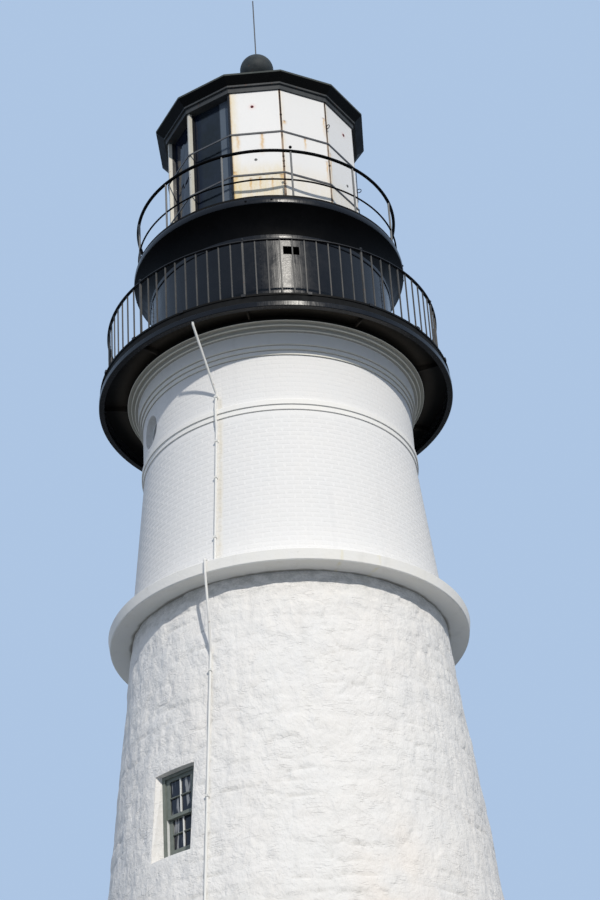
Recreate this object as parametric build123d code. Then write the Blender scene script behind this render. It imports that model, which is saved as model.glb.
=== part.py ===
"""Round coastal lighthouse tower: rubble base, brick upper stage and iron lantern.

Millimetres, +Z up, origin on the ground at the tower's axis. An azimuth of 0 faces -Y,
and a positive azimuth turns towards +X.
"""
from build123d import *
from math import atan2, cos, degrees, radians, sin, tan
import os

# Rubble stage, from the ground to the belt course
stone_height = 14200
stone_base_radius = 3556
stone_top_radius = 2150
stone_base_wall = 1150
tower_bore = 1500            # inner radius from the belt course upwards
wall_segments = 6
floor_thickness = 150

# Belt course
belt_thickness = 160
belt_projection = 300        # its foot beyond the rubble below
belt_lean = 20               # its top edge beyond its foot
belt_arris = 12

# Brick stage, from the belt course to the deck
brick_base_radius = 2166
brick_top_radius = 1943
string_rise = 2445           # above the belt course
string_courses = (           # height of each course and how far it stands out
    (75, 17, 3),
    (75, 34, 3),
)
string_weathering = 25       # slope back to the wall on top
cornice_rise = 3340          # above the belt course
cornice_courses = (          # height of each course and how far it stands out
    (65, 20, 4),
    (65, 44, 4),
    (200, 70, 4),
    (55, 118, 12),
    (45, 166, 12),
    (50, 217, 8),
)
blocking_projection = 117
blocking_height = 100

# Main gallery
deck_plate = 30
deck_overhang = 619          # beyond the plumb brick wall
edge_inset = 62              # rim's inner face inside the deck's edge
edge_web = 50
edge_drop = 195
bead_projection = 15         # rounded bead beyond the deck's edge
bead_height = 84
bead_round = 10
rib_thickness = 20
rib_outer_depth = 60
rib_toe = 40
rail_inset = 136
rail_height = 1022
rail_width = 44
rail_thickness = 14
baluster_count = 88
baluster_width = 17
post_every = 10
post_pairs = 4               # posts on either side of the one at the phase
post_phase = -8.1
post_width = 26
ball_radius = 24
ball_sink = 5                # how deep the ball sits on the post
foot_width = 60
foot_thickness = 12

# Watch room
watch_radius = 1790
watch_plate = 20
watch_height = 1600
vent_azimuth = 11.0
vent_rise = 1246
vent_width = 235
vent_height = 145
hatch_azimuth = 180.0
hatch_width = 620
hatch_height = 1380
hatch_sill = 90
cove_height = 390
cove_lip = 40
cove_belly = (0.36, 0.55)    # where its curve passes, as shares of its flare and height

# Upper gallery
upper_overhang = 242         # beyond the drum
upper_fascia_height = 107
upper_fascia_batter = 15
upper_plate = 42
upper_rail_inset = 72
upper_rail_height = 877
upper_mid_height = 340
upper_rail_tube = 24
upper_mid_tube = 13
upper_post_radius = 15

# Lantern
lantern_sides = 12
lantern_phase = 12.5
lantern_radius = 1488        # over the corner bars
frame_depth_in = 150         # how far sill, head and eave reach in from their facets
sill_height = 70
glazing_height = 2400
mullion_width = 56
mullion_depth = 130
glass_thickness = 10
glass_setback = 100
panel_thickness = 8
panel_margin = 12            # each plate's edge short of the corner
panel_facets = (11, 0, 1)    # facets closed by plates, counted from the phase corner
hoop_heights = (790, 1580)   # above the sill
hoop_height = 26
hoop_thickness = 12
band_height = 88
band_projection = 32
bead_step = 30
head_bead_height = 32
eave_overhang = 121
eave_rise = 103
eave_edge = 30
roof_rise = 1090
roof_top_radius = 210
roof_plate = 14
neck_radius = 130
neck_height = 130
ventilator_radius = 270
ventilator_sink = 27         # how deep the ball sits on its neck
rod_radius = 10
rod_length = 1260
socket_radius = 24
socket_height = 60

# Windows and door
window_azimuths = (-39.5, 140.5)
window_drop = 3680           # sill below the belt course
window_width = 650
window_height = 1165
window_reveal = 100
frame_member = 88
frame_head = 45
frame_sill = 105
frame_depth = 120
sash_stile = 60
sash_member = 44
sash_foot = 90
sash_thickness = 38
sash_gap = 1
pane_thickness = 4
oculus_azimuths = (-67.2, 112.8)
oculus_drop = 370            # centre below the cornice
oculus_radius = 240
oculus_reveal = 90
oculus_member = 46
oculus_depth = 60
door_azimuth = -159.5
door_width = 900
door_height = 2150
door_reveal = 260
door_member = 70
door_frame_depth = 110
leaf_thickness = 50
hole_overrun = 300           # how far a cutting block stands clear of the wall

# Conduit down the front of the tower
pipe_radius = 17
pipe_stand_off = 21
pipe_inset = 40              # its top end inside the foot of the gallery's rim
pipe_drop = 45               # plumb length below the rim
elbow_drop = 485             # elbow onto the brick wall, below the cornice
string_clear = 25            # plumb length above and below the string course
string_return = 180          # back on the wall this far below the string course
hang_drop = 550              # loose below the belt course
hang_inset = 60
knee_drop = 1050             # knee onto the rubble, below the belt course
pipe_azimuths = (-25.0, -25.0, -24.3, -24.5, -24.5, -24.6, -24.7, -24.4, -24.4, -24.5, -26.2, -27.2)
pipe_bends = (60, 80, 80, 80, 80, 25, 25, 25, 150, 150)
clip_width = 46
clip_height = 30
clip_wall = 8
upper_clip_rises = (2805, 2078, 1478, 519)   # above the belt course
lower_clip_drop = 1302       # first clip below the belt course
lower_clip_spacing = 1750

seat = 0.3                   # clearance where a flat end meets a round face

# Levels and radii that follow from the sizes above
belt_z = stone_height
belt_low_radius = stone_top_radius + belt_projection
belt_top_radius = belt_low_radius + belt_lean
brick_z = belt_z + belt_thickness
string_z = brick_z + string_rise
cornice_z = brick_z + cornice_rise
crown_z = cornice_z + sum(course[0] for course in cornice_courses)
deck_soffit_z = crown_z + blocking_height
deck_z = deck_soffit_z + deck_plate
deck_radius = brick_top_radius + deck_overhang
edge_inner_radius = deck_radius - edge_inset
rail_radius = deck_radius - rail_inset
watch_inner_radius = watch_radius - watch_plate
watch_top_z = deck_z + watch_height
vent_z = deck_z + vent_rise
hatch_z = deck_z + hatch_sill
upper_deck_radius = watch_radius + upper_overhang
upper_rail_radius = upper_deck_radius - upper_rail_inset
fascia_z = watch_top_z + cove_height
upper_soffit_z = fascia_z + upper_fascia_height
upper_deck_z = upper_soffit_z + upper_plate
glazing_z = upper_deck_z + sill_height
head_z = glazing_z + glazing_height
band_radius = lantern_radius + band_projection
head_radius = band_radius + bead_step
eave_z = head_z + band_height + head_bead_height
eave_radius = head_radius + eave_overhang
roof_z = eave_z + eave_rise + eave_edge
roof_top_z = roof_z + roof_rise
ball_z = roof_top_z + neck_height + ventilator_radius - ventilator_sink
facet_angle = 360 / lantern_sides
facet_ratio = cos(radians(facet_angle / 2))
window_z = belt_z - window_drop
oculus_z = cornice_z - oculus_drop


def stone_radius(z):
    """Outer radius of the battered rubble wall at a height."""
    return stone_base_radius + (stone_top_radius - stone_base_radius) * z / stone_height


def brick_radius(z):
    """Outer radius of the brick wall: battered up to the string course, then plumb."""
    share = min(1.0, (z - brick_z) / (string_z - brick_z))
    return brick_base_radius + (brick_top_radius - brick_base_radius) * share


def turned(solid, azimuth):
    """A piece made facing -Y, turned to an azimuth."""
    return Rot(0, 0, azimuth) * solid


def ring(outline, arc=360, start=0):
    """An outline of (radius, z) points turned about the tower's axis, from a start azimuth."""
    face = Plane.XZ * make_face(Polyline(*outline, close=True))
    return Rot(0, 0, start - 90) * revolve(face, Axis.Z, revolution_arc=arc)


def block(width, depth, height, front, z):
    """A block facing -Y: its front face at a distance from the axis, its foot at z."""
    return Pos(0, -front + depth / 2, z + height / 2) * Box(width, depth, height)


def disc_block(radius, depth, front, z):
    """A round plug facing -Y, centred at z, with its front face at a distance from the axis."""
    return Pos(0, -front + depth / 2, z) * Rot(90, 0, 0) * Cylinder(radius, depth)


def facet_prism(corner_radius, height, z):
    """A solid prism with the lantern's sides, turned to the lantern's phase."""
    outline = RegularPolygon(corner_radius, lantern_sides, rotation=lantern_phase - 90)
    return Pos(0, 0, z) * extrude(outline, height)


def facet_frustum(low_radius, top_radius, height, z):
    """A tapered prism with the lantern's sides."""
    turn = lantern_phase - 90
    low = Pos(0, 0, z) * RegularPolygon(low_radius, lantern_sides, rotation=turn)
    top = Pos(0, 0, z + height) * RegularPolygon(top_radius, lantern_sides, rotation=turn)
    return loft([low, top])


def corner_azimuths():
    return [lantern_phase + facet_angle * i for i in range(lantern_sides)]


def facet_azimuths():
    return [lantern_phase + facet_angle * (i + 0.5) for i in range(lantern_sides)]


def frame_ring(width, height, member, depth, front, z, head=None, foot=None):
    """A rectangular frame facing -Y; its head and foot are as wide as its sides unless given."""
    head, foot = head or member, foot or member
    outer = block(width, depth, height, front, z)
    inner = block(width - 2 * member, depth * 3, height - head - foot, front + depth, z + foot)
    return outer - inner


# Masonry


def stone_wall():
    """The rubble drum in equal segments, with the window and door openings cut through."""
    outline = [
        (stone_base_radius - stone_base_wall, 0),
        (stone_base_radius, 0),
        (stone_top_radius, stone_height),
        (tower_bore, stone_height),
    ]
    span = 360 / wall_segments
    reach = stone_base_wall + 2 * hole_overrun
    pieces = {}
    for i in range(wall_segments):
        middle = window_azimuths[0] + span * i
        segment = ring(outline, span, middle - span / 2)
        for azimuth in window_azimuths:
            if abs((azimuth - middle + 180) % 360 - 180) < span / 2:
                front = stone_radius(window_z) + hole_overrun
                hole = block(window_width, reach, window_height, front, window_z)
                segment -= turned(hole, azimuth)
        if abs((door_azimuth - middle + 180) % 360 - 180) < span / 2:
            front = stone_radius(0) + hole_overrun
            hole = block(door_width, reach, door_height, front, floor_thickness)
            segment -= turned(hole, door_azimuth)
        pieces[f"stone_wall_{i + 1}"] = segment
    return pieces


def ground_floor():
    low = stone_base_radius - stone_base_wall
    slope = (low - tower_bore) / stone_height
    top = low - slope * floor_thickness
    return ring([(0, 0), (low, 0), (top, floor_thickness), (0, floor_thickness)])


def belt_course():
    top = belt_z + belt_thickness
    return ring([
        (tower_bore, belt_z),
        (belt_low_radius - belt_arris, belt_z),
        (belt_low_radius, belt_z + belt_arris),
        (belt_top_radius, top - belt_arris),
        (belt_top_radius - belt_arris, top),
        (tower_bore, top),
    ])


def brick_wall():
    """The brick drum in four quarters, with the round windows cut through."""
    outline = [
        (tower_bore, brick_z),
        (brick_base_radius, brick_z),
        (brick_top_radius, string_z),
        (brick_top_radius, deck_soffit_z),
        (tower_bore, deck_soffit_z),
    ]
    span = 90
    reach = brick_base_radius - tower_bore + 2 * hole_overrun
    pieces = {}
    for i in range(4):
        middle = oculus_azimuths[0] + span * i
        segment = ring(outline, span, middle - span / 2)
        for azimuth in oculus_azimuths:
            if abs((azimuth - middle + 180) % 360 - 180) < span / 2:
                hole = disc_block(oculus_radius, reach, brick_top_radius + hole_overrun, oculus_z)
                segment -= turned(hole, azimuth)
        pieces[f"brick_wall_{i + 1}"] = segment
    return pieces


def corbelled(z, courses):
    """Outline of courses that stand out one over another, with eased lower edges."""
    outline = [(brick_top_radius, z)]
    for height, projection, ease in courses:
        outer = brick_top_radius + projection
        outline += [(outer - ease, z), (outer, z + ease), (outer, z + height)]
        z += height
    return outline, z


def string_course():
    """Two brick courses that stand out one over the other, weathered on top."""
    outline, top = corbelled(string_z, string_courses)
    return ring(outline + [(brick_top_radius, top + string_weathering)])


def cornice():
    """Corbelled brick courses, and the blocking course on top."""
    outline, z = corbelled(cornice_z, cornice_courses)
    blocking = brick_top_radius + blocking_projection
    outline += [(blocking, z), (blocking, deck_soffit_z), (brick_top_radius, deck_soffit_z)]
    return ring(outline)


# Main gallery


def gallery_deck():
    return ring([(0, deck_soffit_z), (deck_radius, deck_soffit_z), (deck_radius, deck_z), (0, deck_z)])


def gallery_edge():
    """The rim below the deck plate: a plumb web with a rounded bead at its foot."""
    low = deck_soffit_z - edge_drop
    bead_top = low + bead_height
    web = edge_inner_radius + edge_web
    bead = deck_radius + bead_projection
    outline = Polyline(
        (web, bead_top),
        (web, deck_soffit_z),
        (edge_inner_radius, deck_soffit_z),
        (edge_inner_radius, low),
        (bead - bead_round, low),
    )
    lower_round = RadiusArc((bead - bead_round, low), (bead, low + bead_round), -bead_round)
    face = Line((bead, low + bead_round), (bead, bead_top - bead_round))
    upper_round = RadiusArc((bead, bead_top - bead_round), (bead - bead_round, bead_top), -bead_round)
    shelf = Line((bead - bead_round, bead_top), (web, bead_top))
    section = Plane.XZ * make_face([outline, lower_round, face, upper_round, shelf])
    return revolve(section, Axis.Z)


def gallery_ribs():
    """A radial bracket under each post, between the blocking course and the rim."""
    inner = brick_top_radius + blocking_projection
    outer = edge_inner_radius - seat
    profile = Polyline(
        (inner, deck_soffit_z),
        (inner, deck_soffit_z - blocking_height),
        (inner + rib_toe, deck_soffit_z - blocking_height),
        (outer, deck_soffit_z - rib_outer_depth),
        (outer, deck_soffit_z),
        close=True,
    )
    rib = extrude(Plane.XZ * make_face(profile), rib_thickness / 2, both=True)
    return [turned(Rot(0, 0, -90) * rib, baluster_azimuth(k)) for k in post_indexes()]


def baluster_azimuth(index):
    return post_phase + index * 360 / baluster_count


def post_indexes():
    """Places of the posts in the row of balusters, with the one shorter bay at the back."""
    return [post_every * k for k in range(-post_pairs, post_pairs + 1)]


def gallery_railing():
    """One bay between each two posts: the balusters and their length of top rail."""
    rail_z = deck_z + rail_height
    half = rail_width / 2
    outline = [
        (rail_radius - half, rail_z - rail_thickness / 2),
        (rail_radius + half, rail_z - rail_thickness / 2),
        (rail_radius + half, rail_z + rail_thickness / 2),
        (rail_radius - half, rail_z + rail_thickness / 2),
    ]
    bar = Box(baluster_width, baluster_width, rail_height)
    bar = Pos(0, -rail_radius, deck_z + rail_height / 2) * bar
    gap = degrees((post_width / 2 + seat) / rail_radius)
    bays = []
    marks = post_indexes() + [post_indexes()[0] + baluster_count]
    for first, last in zip(marks, marks[1:]):
        start = baluster_azimuth(first) + gap
        bay = ring(outline, baluster_azimuth(last) - gap - start, start)
        bay += [turned(bar, baluster_azimuth(k)) for k in range(first + 1, last)]
        bays.append(bay)
    return bays


def rail_foot(back):
    """A flat bar on the deck from a distance from the axis outwards, turned down over the edge."""
    front = deck_radius + foot_thickness + seat
    foot = block(foot_width, front - back, foot_thickness, front, deck_z)
    return foot + block(foot_width, foot_thickness, deck_plate + foot_thickness, front, deck_z - deck_plate)


def gallery_posts():
    """Square posts with a ball on top and a foot bar, and a bare foot bar half-way between them."""
    height = rail_height + rail_thickness
    shaft = Pos(0, -rail_radius, deck_z + height / 2) * Box(post_width, post_width, height)
    ball = Pos(0, -rail_radius, deck_z + height + ball_radius - ball_sink) * Sphere(ball_radius)
    post = shaft + ball + rail_foot(rail_radius - foot_width / 2)
    bare_foot = rail_foot(rail_radius + baluster_width / 2 + seat)
    pieces = []
    for k in post_indexes():
        pieces.append(turned(post, baluster_azimuth(k)))
        pieces.append(turned(bare_foot, baluster_azimuth(k + post_every // 2)))
    return pieces


# Watch room


def watch_wall():
    """Iron drum with a small vent in front and the gallery hatch behind."""
    drum = ring([
        (watch_inner_radius, deck_z),
        (watch_radius, deck_z),
        (watch_radius, watch_top_z),
        (watch_inner_radius, watch_top_z),
    ])
    reach = 2 * hole_overrun
    vent = block(vent_width, reach, vent_height, watch_radius + hole_overrun, vent_z)
    hatch = block(hatch_width, reach, hatch_height, watch_radius + hole_overrun, hatch_z)
    return drum - turned(vent, vent_azimuth) - turned(hatch, hatch_azimuth)


def watch_hatch():
    """The hatch leaf: a curved plate that fills its opening."""
    top = hatch_z + hatch_height
    shell = ring([
        (watch_inner_radius, hatch_z + seat),
        (watch_radius, hatch_z + seat),
        (watch_radius, top - seat),
        (watch_inner_radius, top - seat),
    ])
    width = hatch_width - 2 * seat
    slot = block(width, 2 * hole_overrun, hatch_height, watch_radius + hole_overrun, hatch_z)
    return shell & turned(slot, hatch_azimuth)


def watch_cove():
    """Flared iron cove that carries the upper gallery out over the drum."""
    flare = upper_deck_radius
    belly_radius = watch_radius + (flare - watch_radius) * cove_belly[0]
    belly_z = watch_top_z + cove_height * cove_belly[1]
    foot = Line((watch_inner_radius, watch_top_z), (watch_radius, watch_top_z))
    front = ThreePointArc((watch_radius, watch_top_z), (belly_radius, belly_z), (flare, fascia_z))
    back = Polyline(
        (flare, fascia_z),
        (flare - cove_lip, fascia_z),
        (watch_inner_radius, belly_z),
        (watch_inner_radius, watch_top_z),
    )
    return revolve(Plane.XZ * make_face([foot, front, back]), Axis.Z)


# Upper gallery


def upper_edge():
    """Battered fascia ring on the cove."""
    inner = upper_deck_radius - cove_lip
    return ring([
        (inner, fascia_z),
        (upper_deck_radius, fascia_z),
        (upper_deck_radius - upper_fascia_batter, upper_soffit_z),
        (inner, upper_soffit_z),
    ])


def upper_deck():
    radius = upper_deck_radius - upper_fascia_batter
    return ring([(0, upper_soffit_z), (radius, upper_soffit_z), (radius, upper_deck_z), (0, upper_deck_z)])


def tube_arc(tube, z, gap):
    """One length of round rail between two posts, short of each post's centre by a gap."""
    gap_angle = degrees(gap / upper_rail_radius)
    section = Plane.XZ * Pos(upper_rail_radius, z) * Circle(tube)
    arc = revolve(section, Axis.Z, revolution_arc=facet_angle - 2 * gap_angle)
    return Rot(0, 0, lantern_phase - 90 + gap_angle) * arc


def upper_post(extra=0.0):
    """One round post up to the top rail's centre, with extra radius when it cuts a seat."""
    height = upper_rail_height
    shaft = Cylinder(upper_post_radius + extra, height)
    return Pos(0, -upper_rail_radius, upper_deck_z + height / 2) * shaft


def upper_rails():
    """Top and middle handrails in lengths that meet at the posts."""
    top = tube_arc(upper_rail_tube, upper_deck_z + upper_rail_height, seat)
    for azimuth in (lantern_phase, lantern_phase + facet_angle):
        top -= turned(upper_post(seat), azimuth)
    middle = tube_arc(upper_mid_tube, upper_deck_z + upper_mid_height, upper_post_radius + seat)
    turns = [facet_angle * i for i in range(lantern_sides)]
    return [turned(rail, turn) for rail in (top, middle) for turn in turns]


def upper_posts():
    return [turned(upper_post(), azimuth) for azimuth in corner_azimuths()]


# Lantern


def lantern_hollow(low_z, top_z, depth=frame_depth_in):
    """The room inside the lantern's frame, to cut it out of a solid prism."""
    radius = lantern_radius - depth / facet_ratio
    return facet_prism(radius, top_z - low_z + 2 * hole_overrun, low_z - hole_overrun)


def lantern_sill():
    """Curb under the glazing, out to the front of the plates."""
    outer = facet_prism(lantern_radius + panel_thickness / facet_ratio, sill_height, upper_deck_z)
    return outer - lantern_hollow(upper_deck_z, glazing_z)


def lantern_mullions():
    """Deep corner bars, each cut from the ring between the frame's outer and inner faces."""
    band = facet_prism(lantern_radius, glazing_height, glazing_z)
    band -= lantern_hollow(glazing_z, head_z, mullion_depth)
    reach = mullion_depth + 2 * hole_overrun
    cut = block(mullion_width, reach, glazing_height, lantern_radius + hole_overrun, glazing_z)
    return [band & turned(cut, azimuth) for azimuth in corner_azimuths()]


def lantern_glass():
    """One sheet between each two corner bars, well back from the front of the frame."""
    half_turn = radians(facet_angle / 2)
    depth = glass_setback + glass_thickness
    bar_side = mullion_width / 2 / cos(half_turn) + depth * tan(half_turn)
    width = 2 * (lantern_radius * sin(half_turn) - bar_side - seat)
    front = lantern_radius * facet_ratio - glass_setback
    sheet = block(width, glass_thickness, glazing_height, front, glazing_z)
    azimuths = facet_azimuths()
    return [turned(sheet, azimuths[i]) for i in range(lantern_sides) if i not in panel_facets]


def lantern_panels():
    """Plates fixed over the corner bars, which leave a narrow joint at each corner."""
    width = 2 * (lantern_radius * sin(radians(facet_angle / 2)) - panel_margin)
    front = lantern_radius * facet_ratio + panel_thickness
    plate = block(width, panel_thickness, glazing_height, front, glazing_z)
    azimuths = facet_azimuths()
    return [turned(plate, azimuths[i]) for i in panel_facets]


def lantern_hoops():
    """Two flat hoops round the outside of the glazing, against the plates."""
    inner_radius = lantern_radius + panel_thickness / facet_ratio
    hoops = []
    for height in hoop_heights:
        low = glazing_z + height - hoop_height / 2
        outer = facet_prism(inner_radius + hoop_thickness / facet_ratio, hoop_height, low)
        hoops.append(outer - facet_prism(inner_radius, hoop_height, low))
    return hoops


def lantern_head():
    """Moulded band over the glazing: a broad flat band and a bead that stands out over it."""
    bead_z = head_z + band_height
    outer = facet_prism(band_radius, band_height, head_z)
    outer += facet_prism(head_radius, head_bead_height, bead_z)
    return outer - lantern_hollow(head_z, eave_z)


def lantern_eave():
    """Sloping soffit and thin edge that throw the roof out past the glazing."""
    outer = facet_frustum(head_radius, eave_radius, eave_rise, eave_z)
    outer += facet_prism(eave_radius, eave_edge, eave_z + eave_rise)
    return outer - lantern_hollow(eave_z, roof_z)


def lantern_roof():
    """Twelve-sided iron roof, a shell of even thickness."""
    slope = (eave_radius - roof_top_radius) / roof_rise
    inset = roof_plate * (1 + slope * slope) ** 0.5
    outer = facet_frustum(eave_radius, roof_top_radius, roof_rise, roof_z)
    hollow_rise = roof_rise - 2 * roof_plate
    low = eave_radius - inset
    return outer - facet_frustum(low, low - slope * hollow_rise, hollow_rise, roof_z)


def ventilator():
    neck = Pos(0, 0, roof_top_z + neck_height / 2) * Cylinder(neck_radius, neck_height)
    return neck + Pos(0, 0, ball_z) * Sphere(ventilator_radius)


def lightning_rod():
    base_z = ball_z + ventilator_radius
    socket = Pos(0, 0, base_z + socket_height / 2) * Cylinder(socket_radius, socket_height)
    rod = Pos(0, 0, base_z + rod_length / 2) * Cylinder(rod_radius, rod_length)
    return socket + rod


# Windows and door


def window_front():
    return stone_radius(window_z + window_height) - window_reveal


def window_frames():
    frame = frame_ring(window_width, window_height, frame_member, frame_depth, window_front(), window_z,
                       frame_head, frame_sill)
    return [turned(frame, azimuth) for azimuth in window_azimuths]


def sash_sizes():
    """Width, height and foot of each sash, its front face's distance from the axis and its lowest rail."""
    width = window_width - 2 * frame_member
    clear = window_height - frame_head - frame_sill
    height = (clear + sash_member) / 2
    low = window_z + frame_sill
    front = window_front() - (frame_depth - 2 * sash_thickness - sash_gap) / 2
    upper = (width, height, low + clear - height, front, sash_member)
    lower = (width, height, low, front - sash_thickness - sash_gap, sash_foot)
    return [upper, lower]


def window_sashes():
    pieces = []
    for width, height, z, front, foot in sash_sizes():
        sash = frame_ring(width, height, sash_stile, sash_thickness, front, z, sash_member, foot)
        pieces += [turned(sash, azimuth) for azimuth in window_azimuths]
    return pieces


def window_panes():
    pieces = []
    for width, height, z, front, foot in sash_sizes():
        pane = block(width - 2 * sash_stile, pane_thickness, height - sash_member - foot,
                     front - sash_thickness / 2, z + foot)
        pieces += [turned(pane, azimuth) for azimuth in window_azimuths]
    return pieces


def oculus_front():
    return (brick_top_radius ** 2 - oculus_radius ** 2) ** 0.5 - oculus_reveal


def oculus_frames():
    plug = disc_block(oculus_radius, oculus_depth, oculus_front(), oculus_z)
    plug -= disc_block(oculus_radius - oculus_member, oculus_depth * 3, oculus_front() + oculus_depth, oculus_z)
    return [turned(plug, azimuth) for azimuth in oculus_azimuths]


def oculus_panes():
    front = oculus_front() - oculus_depth / 2
    pane = disc_block(oculus_radius - oculus_member, pane_thickness, front, oculus_z)
    return [turned(pane, azimuth) for azimuth in oculus_azimuths]


def door_front():
    return stone_radius(floor_thickness + door_height) - door_reveal


def door_frame():
    outer = block(door_width, door_frame_depth, door_height, door_front(), floor_thickness)
    inner = block(door_width - 2 * door_member, door_frame_depth * 3, door_height - door_member,
                  door_front() + door_frame_depth, floor_thickness)
    return turned(outer - inner, door_azimuth)


def door_leaf():
    front = door_front() - (door_frame_depth - leaf_thickness) / 2
    width = door_width - 2 * door_member
    leaf = block(width, leaf_thickness, door_height - door_member, front, floor_thickness)
    return turned(leaf, door_azimuth)


# Conduit


def conduit_route():
    """From the foot of the gallery's rim in to the brick wall, over string and belt, down to the ground."""
    top_radius = edge_inner_radius + pipe_inset
    rim_z = deck_soffit_z - edge_drop
    elbow_z = cornice_z - elbow_drop
    string_top_z = string_z + sum(course[0] for course in string_courses)
    string_out = brick_top_radius + string_courses[-1][1] + pipe_stand_off
    return_z = string_z - string_return
    belt_out = belt_top_radius + pipe_stand_off
    knee_z = belt_z - knee_drop
    stations = (
        (top_radius, rim_z - seat),
        (top_radius, rim_z - pipe_drop),
        (brick_top_radius + pipe_stand_off, elbow_z),
        (string_out, string_top_z + string_clear),
        (string_out, string_z - string_clear),
        (brick_radius(return_z) + pipe_stand_off, return_z),
        (brick_radius(brick_z) + pipe_stand_off, brick_z + 2 * pipe_stand_off),
        (belt_out, brick_z + pipe_stand_off),
        (belt_out, belt_z - pipe_stand_off),
        (belt_out - hang_inset, belt_z - hang_drop),
        (stone_radius(knee_z) + pipe_stand_off, knee_z),
        (stone_radius(0) + pipe_stand_off, pipe_radius),
    )
    points = []
    for azimuth, (distance, z) in zip(pipe_azimuths, stations):
        angle = radians(azimuth)
        points.append((distance * sin(angle), -distance * cos(angle), z))
    return points


def conduit():
    path = FilletPolyline(*conduit_route(), radius=list(pipe_bends))
    start = Plane(path @ 0, z_dir=path % 0)
    return sweep(start * Circle(pipe_radius), path)


def conduit_clip(z, wall):
    """A saddle at a height on the pipe's own straight run, seated on the wall behind it."""
    points = [Vector(*point) for point in conduit_route()]
    low, high = next((b, a) for a, b in zip(points, points[1:]) if b.Z <= z <= a.Z)
    centre = low + (high - low) * ((z - low.Z) / (high.Z - low.Z))
    azimuth = degrees(atan2(centre.X, -centre.Y))
    distance = (centre.X ** 2 + centre.Y ** 2) ** 0.5
    front = distance + pipe_radius + clip_wall
    back = wall(z - clip_height / 2) + seat
    saddle = block(clip_width, front - back, clip_height, front, z - clip_height / 2)
    bore = Plane(centre, z_dir=high - low) * Cylinder(pipe_radius + seat, clip_height * 3)
    return turned(saddle, azimuth) - bore


def conduit_clips():
    clips = [conduit_clip(brick_z + rise, brick_radius) for rise in upper_clip_rises]
    z = belt_z - lower_clip_drop
    while z > clip_height:
        clips.append(conduit_clip(z, stone_radius))
        z -= lower_clip_spacing
    return clips


def build():
    """Every named piece, as one solid or as a list of solids that don't touch."""
    pieces = {}
    pieces.update(stone_wall())
    pieces["ground_floor"] = ground_floor()
    pieces["belt_course"] = belt_course()
    pieces.update(brick_wall())
    pieces["string_course"] = string_course()
    pieces["cornice"] = cornice()
    pieces["gallery_deck"] = gallery_deck()
    pieces["gallery_edge"] = gallery_edge()
    pieces["gallery_ribs"] = gallery_ribs()
    pieces["gallery_railing"] = gallery_railing()
    pieces["gallery_posts"] = gallery_posts()
    pieces["watch_wall"] = watch_wall()
    pieces["watch_hatch"] = watch_hatch()
    pieces["watch_cove"] = watch_cove()
    pieces["upper_edge"] = upper_edge()
    pieces["upper_deck"] = upper_deck()
    pieces["upper_rails"] = upper_rails()
    pieces["upper_posts"] = upper_posts()
    pieces["lantern_sill"] = lantern_sill()
    pieces["lantern_mullions"] = lantern_mullions()
    pieces["lantern_glass"] = lantern_glass()
    pieces["lantern_panels"] = lantern_panels()
    pieces["lantern_hoops"] = lantern_hoops()
    pieces["lantern_head"] = lantern_head()
    pieces["lantern_eave"] = lantern_eave()
    pieces["lantern_roof"] = lantern_roof()
    pieces["ventilator"] = ventilator()
    pieces["lightning_rod"] = lightning_rod()
    pieces["window_frames"] = window_frames()
    pieces["window_sashes"] = window_sashes()
    pieces["window_panes"] = window_panes()
    pieces["oculus_frames"] = oculus_frames()
    pieces["oculus_panes"] = oculus_panes()
    pieces["door_frame"] = door_frame()
    pieces["door_leaf"] = door_leaf()
    pieces["conduit"] = conduit()
    pieces["conduit_clips"] = conduit_clips()
    return pieces


def export(pieces):
    os.makedirs("parts", exist_ok=True)
    for name, piece in pieces.items():
        if isinstance(piece, list):
            solids = [solid for item in piece for solid in item.solids()]
            piece = Compound(children=solids)
        export_step(piece, f"parts/{name}.step")


export(build())
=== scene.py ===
import math
import bpy
import numpy as np
from mathutils import Matrix, Vector


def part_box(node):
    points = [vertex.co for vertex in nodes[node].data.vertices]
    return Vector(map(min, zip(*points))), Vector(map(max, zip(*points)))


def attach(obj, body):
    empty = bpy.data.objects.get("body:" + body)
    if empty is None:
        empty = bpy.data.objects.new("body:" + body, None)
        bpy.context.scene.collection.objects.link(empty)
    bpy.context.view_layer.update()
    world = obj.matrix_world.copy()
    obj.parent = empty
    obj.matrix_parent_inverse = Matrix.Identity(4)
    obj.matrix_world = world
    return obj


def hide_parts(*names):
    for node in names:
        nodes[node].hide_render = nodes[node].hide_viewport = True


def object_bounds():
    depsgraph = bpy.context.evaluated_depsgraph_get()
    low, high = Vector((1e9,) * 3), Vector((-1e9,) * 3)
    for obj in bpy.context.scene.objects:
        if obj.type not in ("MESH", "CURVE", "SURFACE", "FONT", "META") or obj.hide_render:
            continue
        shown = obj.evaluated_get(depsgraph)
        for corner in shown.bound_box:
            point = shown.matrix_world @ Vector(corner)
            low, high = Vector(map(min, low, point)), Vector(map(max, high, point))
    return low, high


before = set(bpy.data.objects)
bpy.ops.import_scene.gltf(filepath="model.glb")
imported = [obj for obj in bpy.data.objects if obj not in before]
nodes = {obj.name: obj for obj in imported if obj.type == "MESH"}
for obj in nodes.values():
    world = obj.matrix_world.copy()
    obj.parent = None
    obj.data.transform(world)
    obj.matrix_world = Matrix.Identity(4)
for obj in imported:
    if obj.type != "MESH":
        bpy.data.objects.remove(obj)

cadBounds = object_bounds()
print("frame:", len(nodes), "pieces of the tower loaded")

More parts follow.
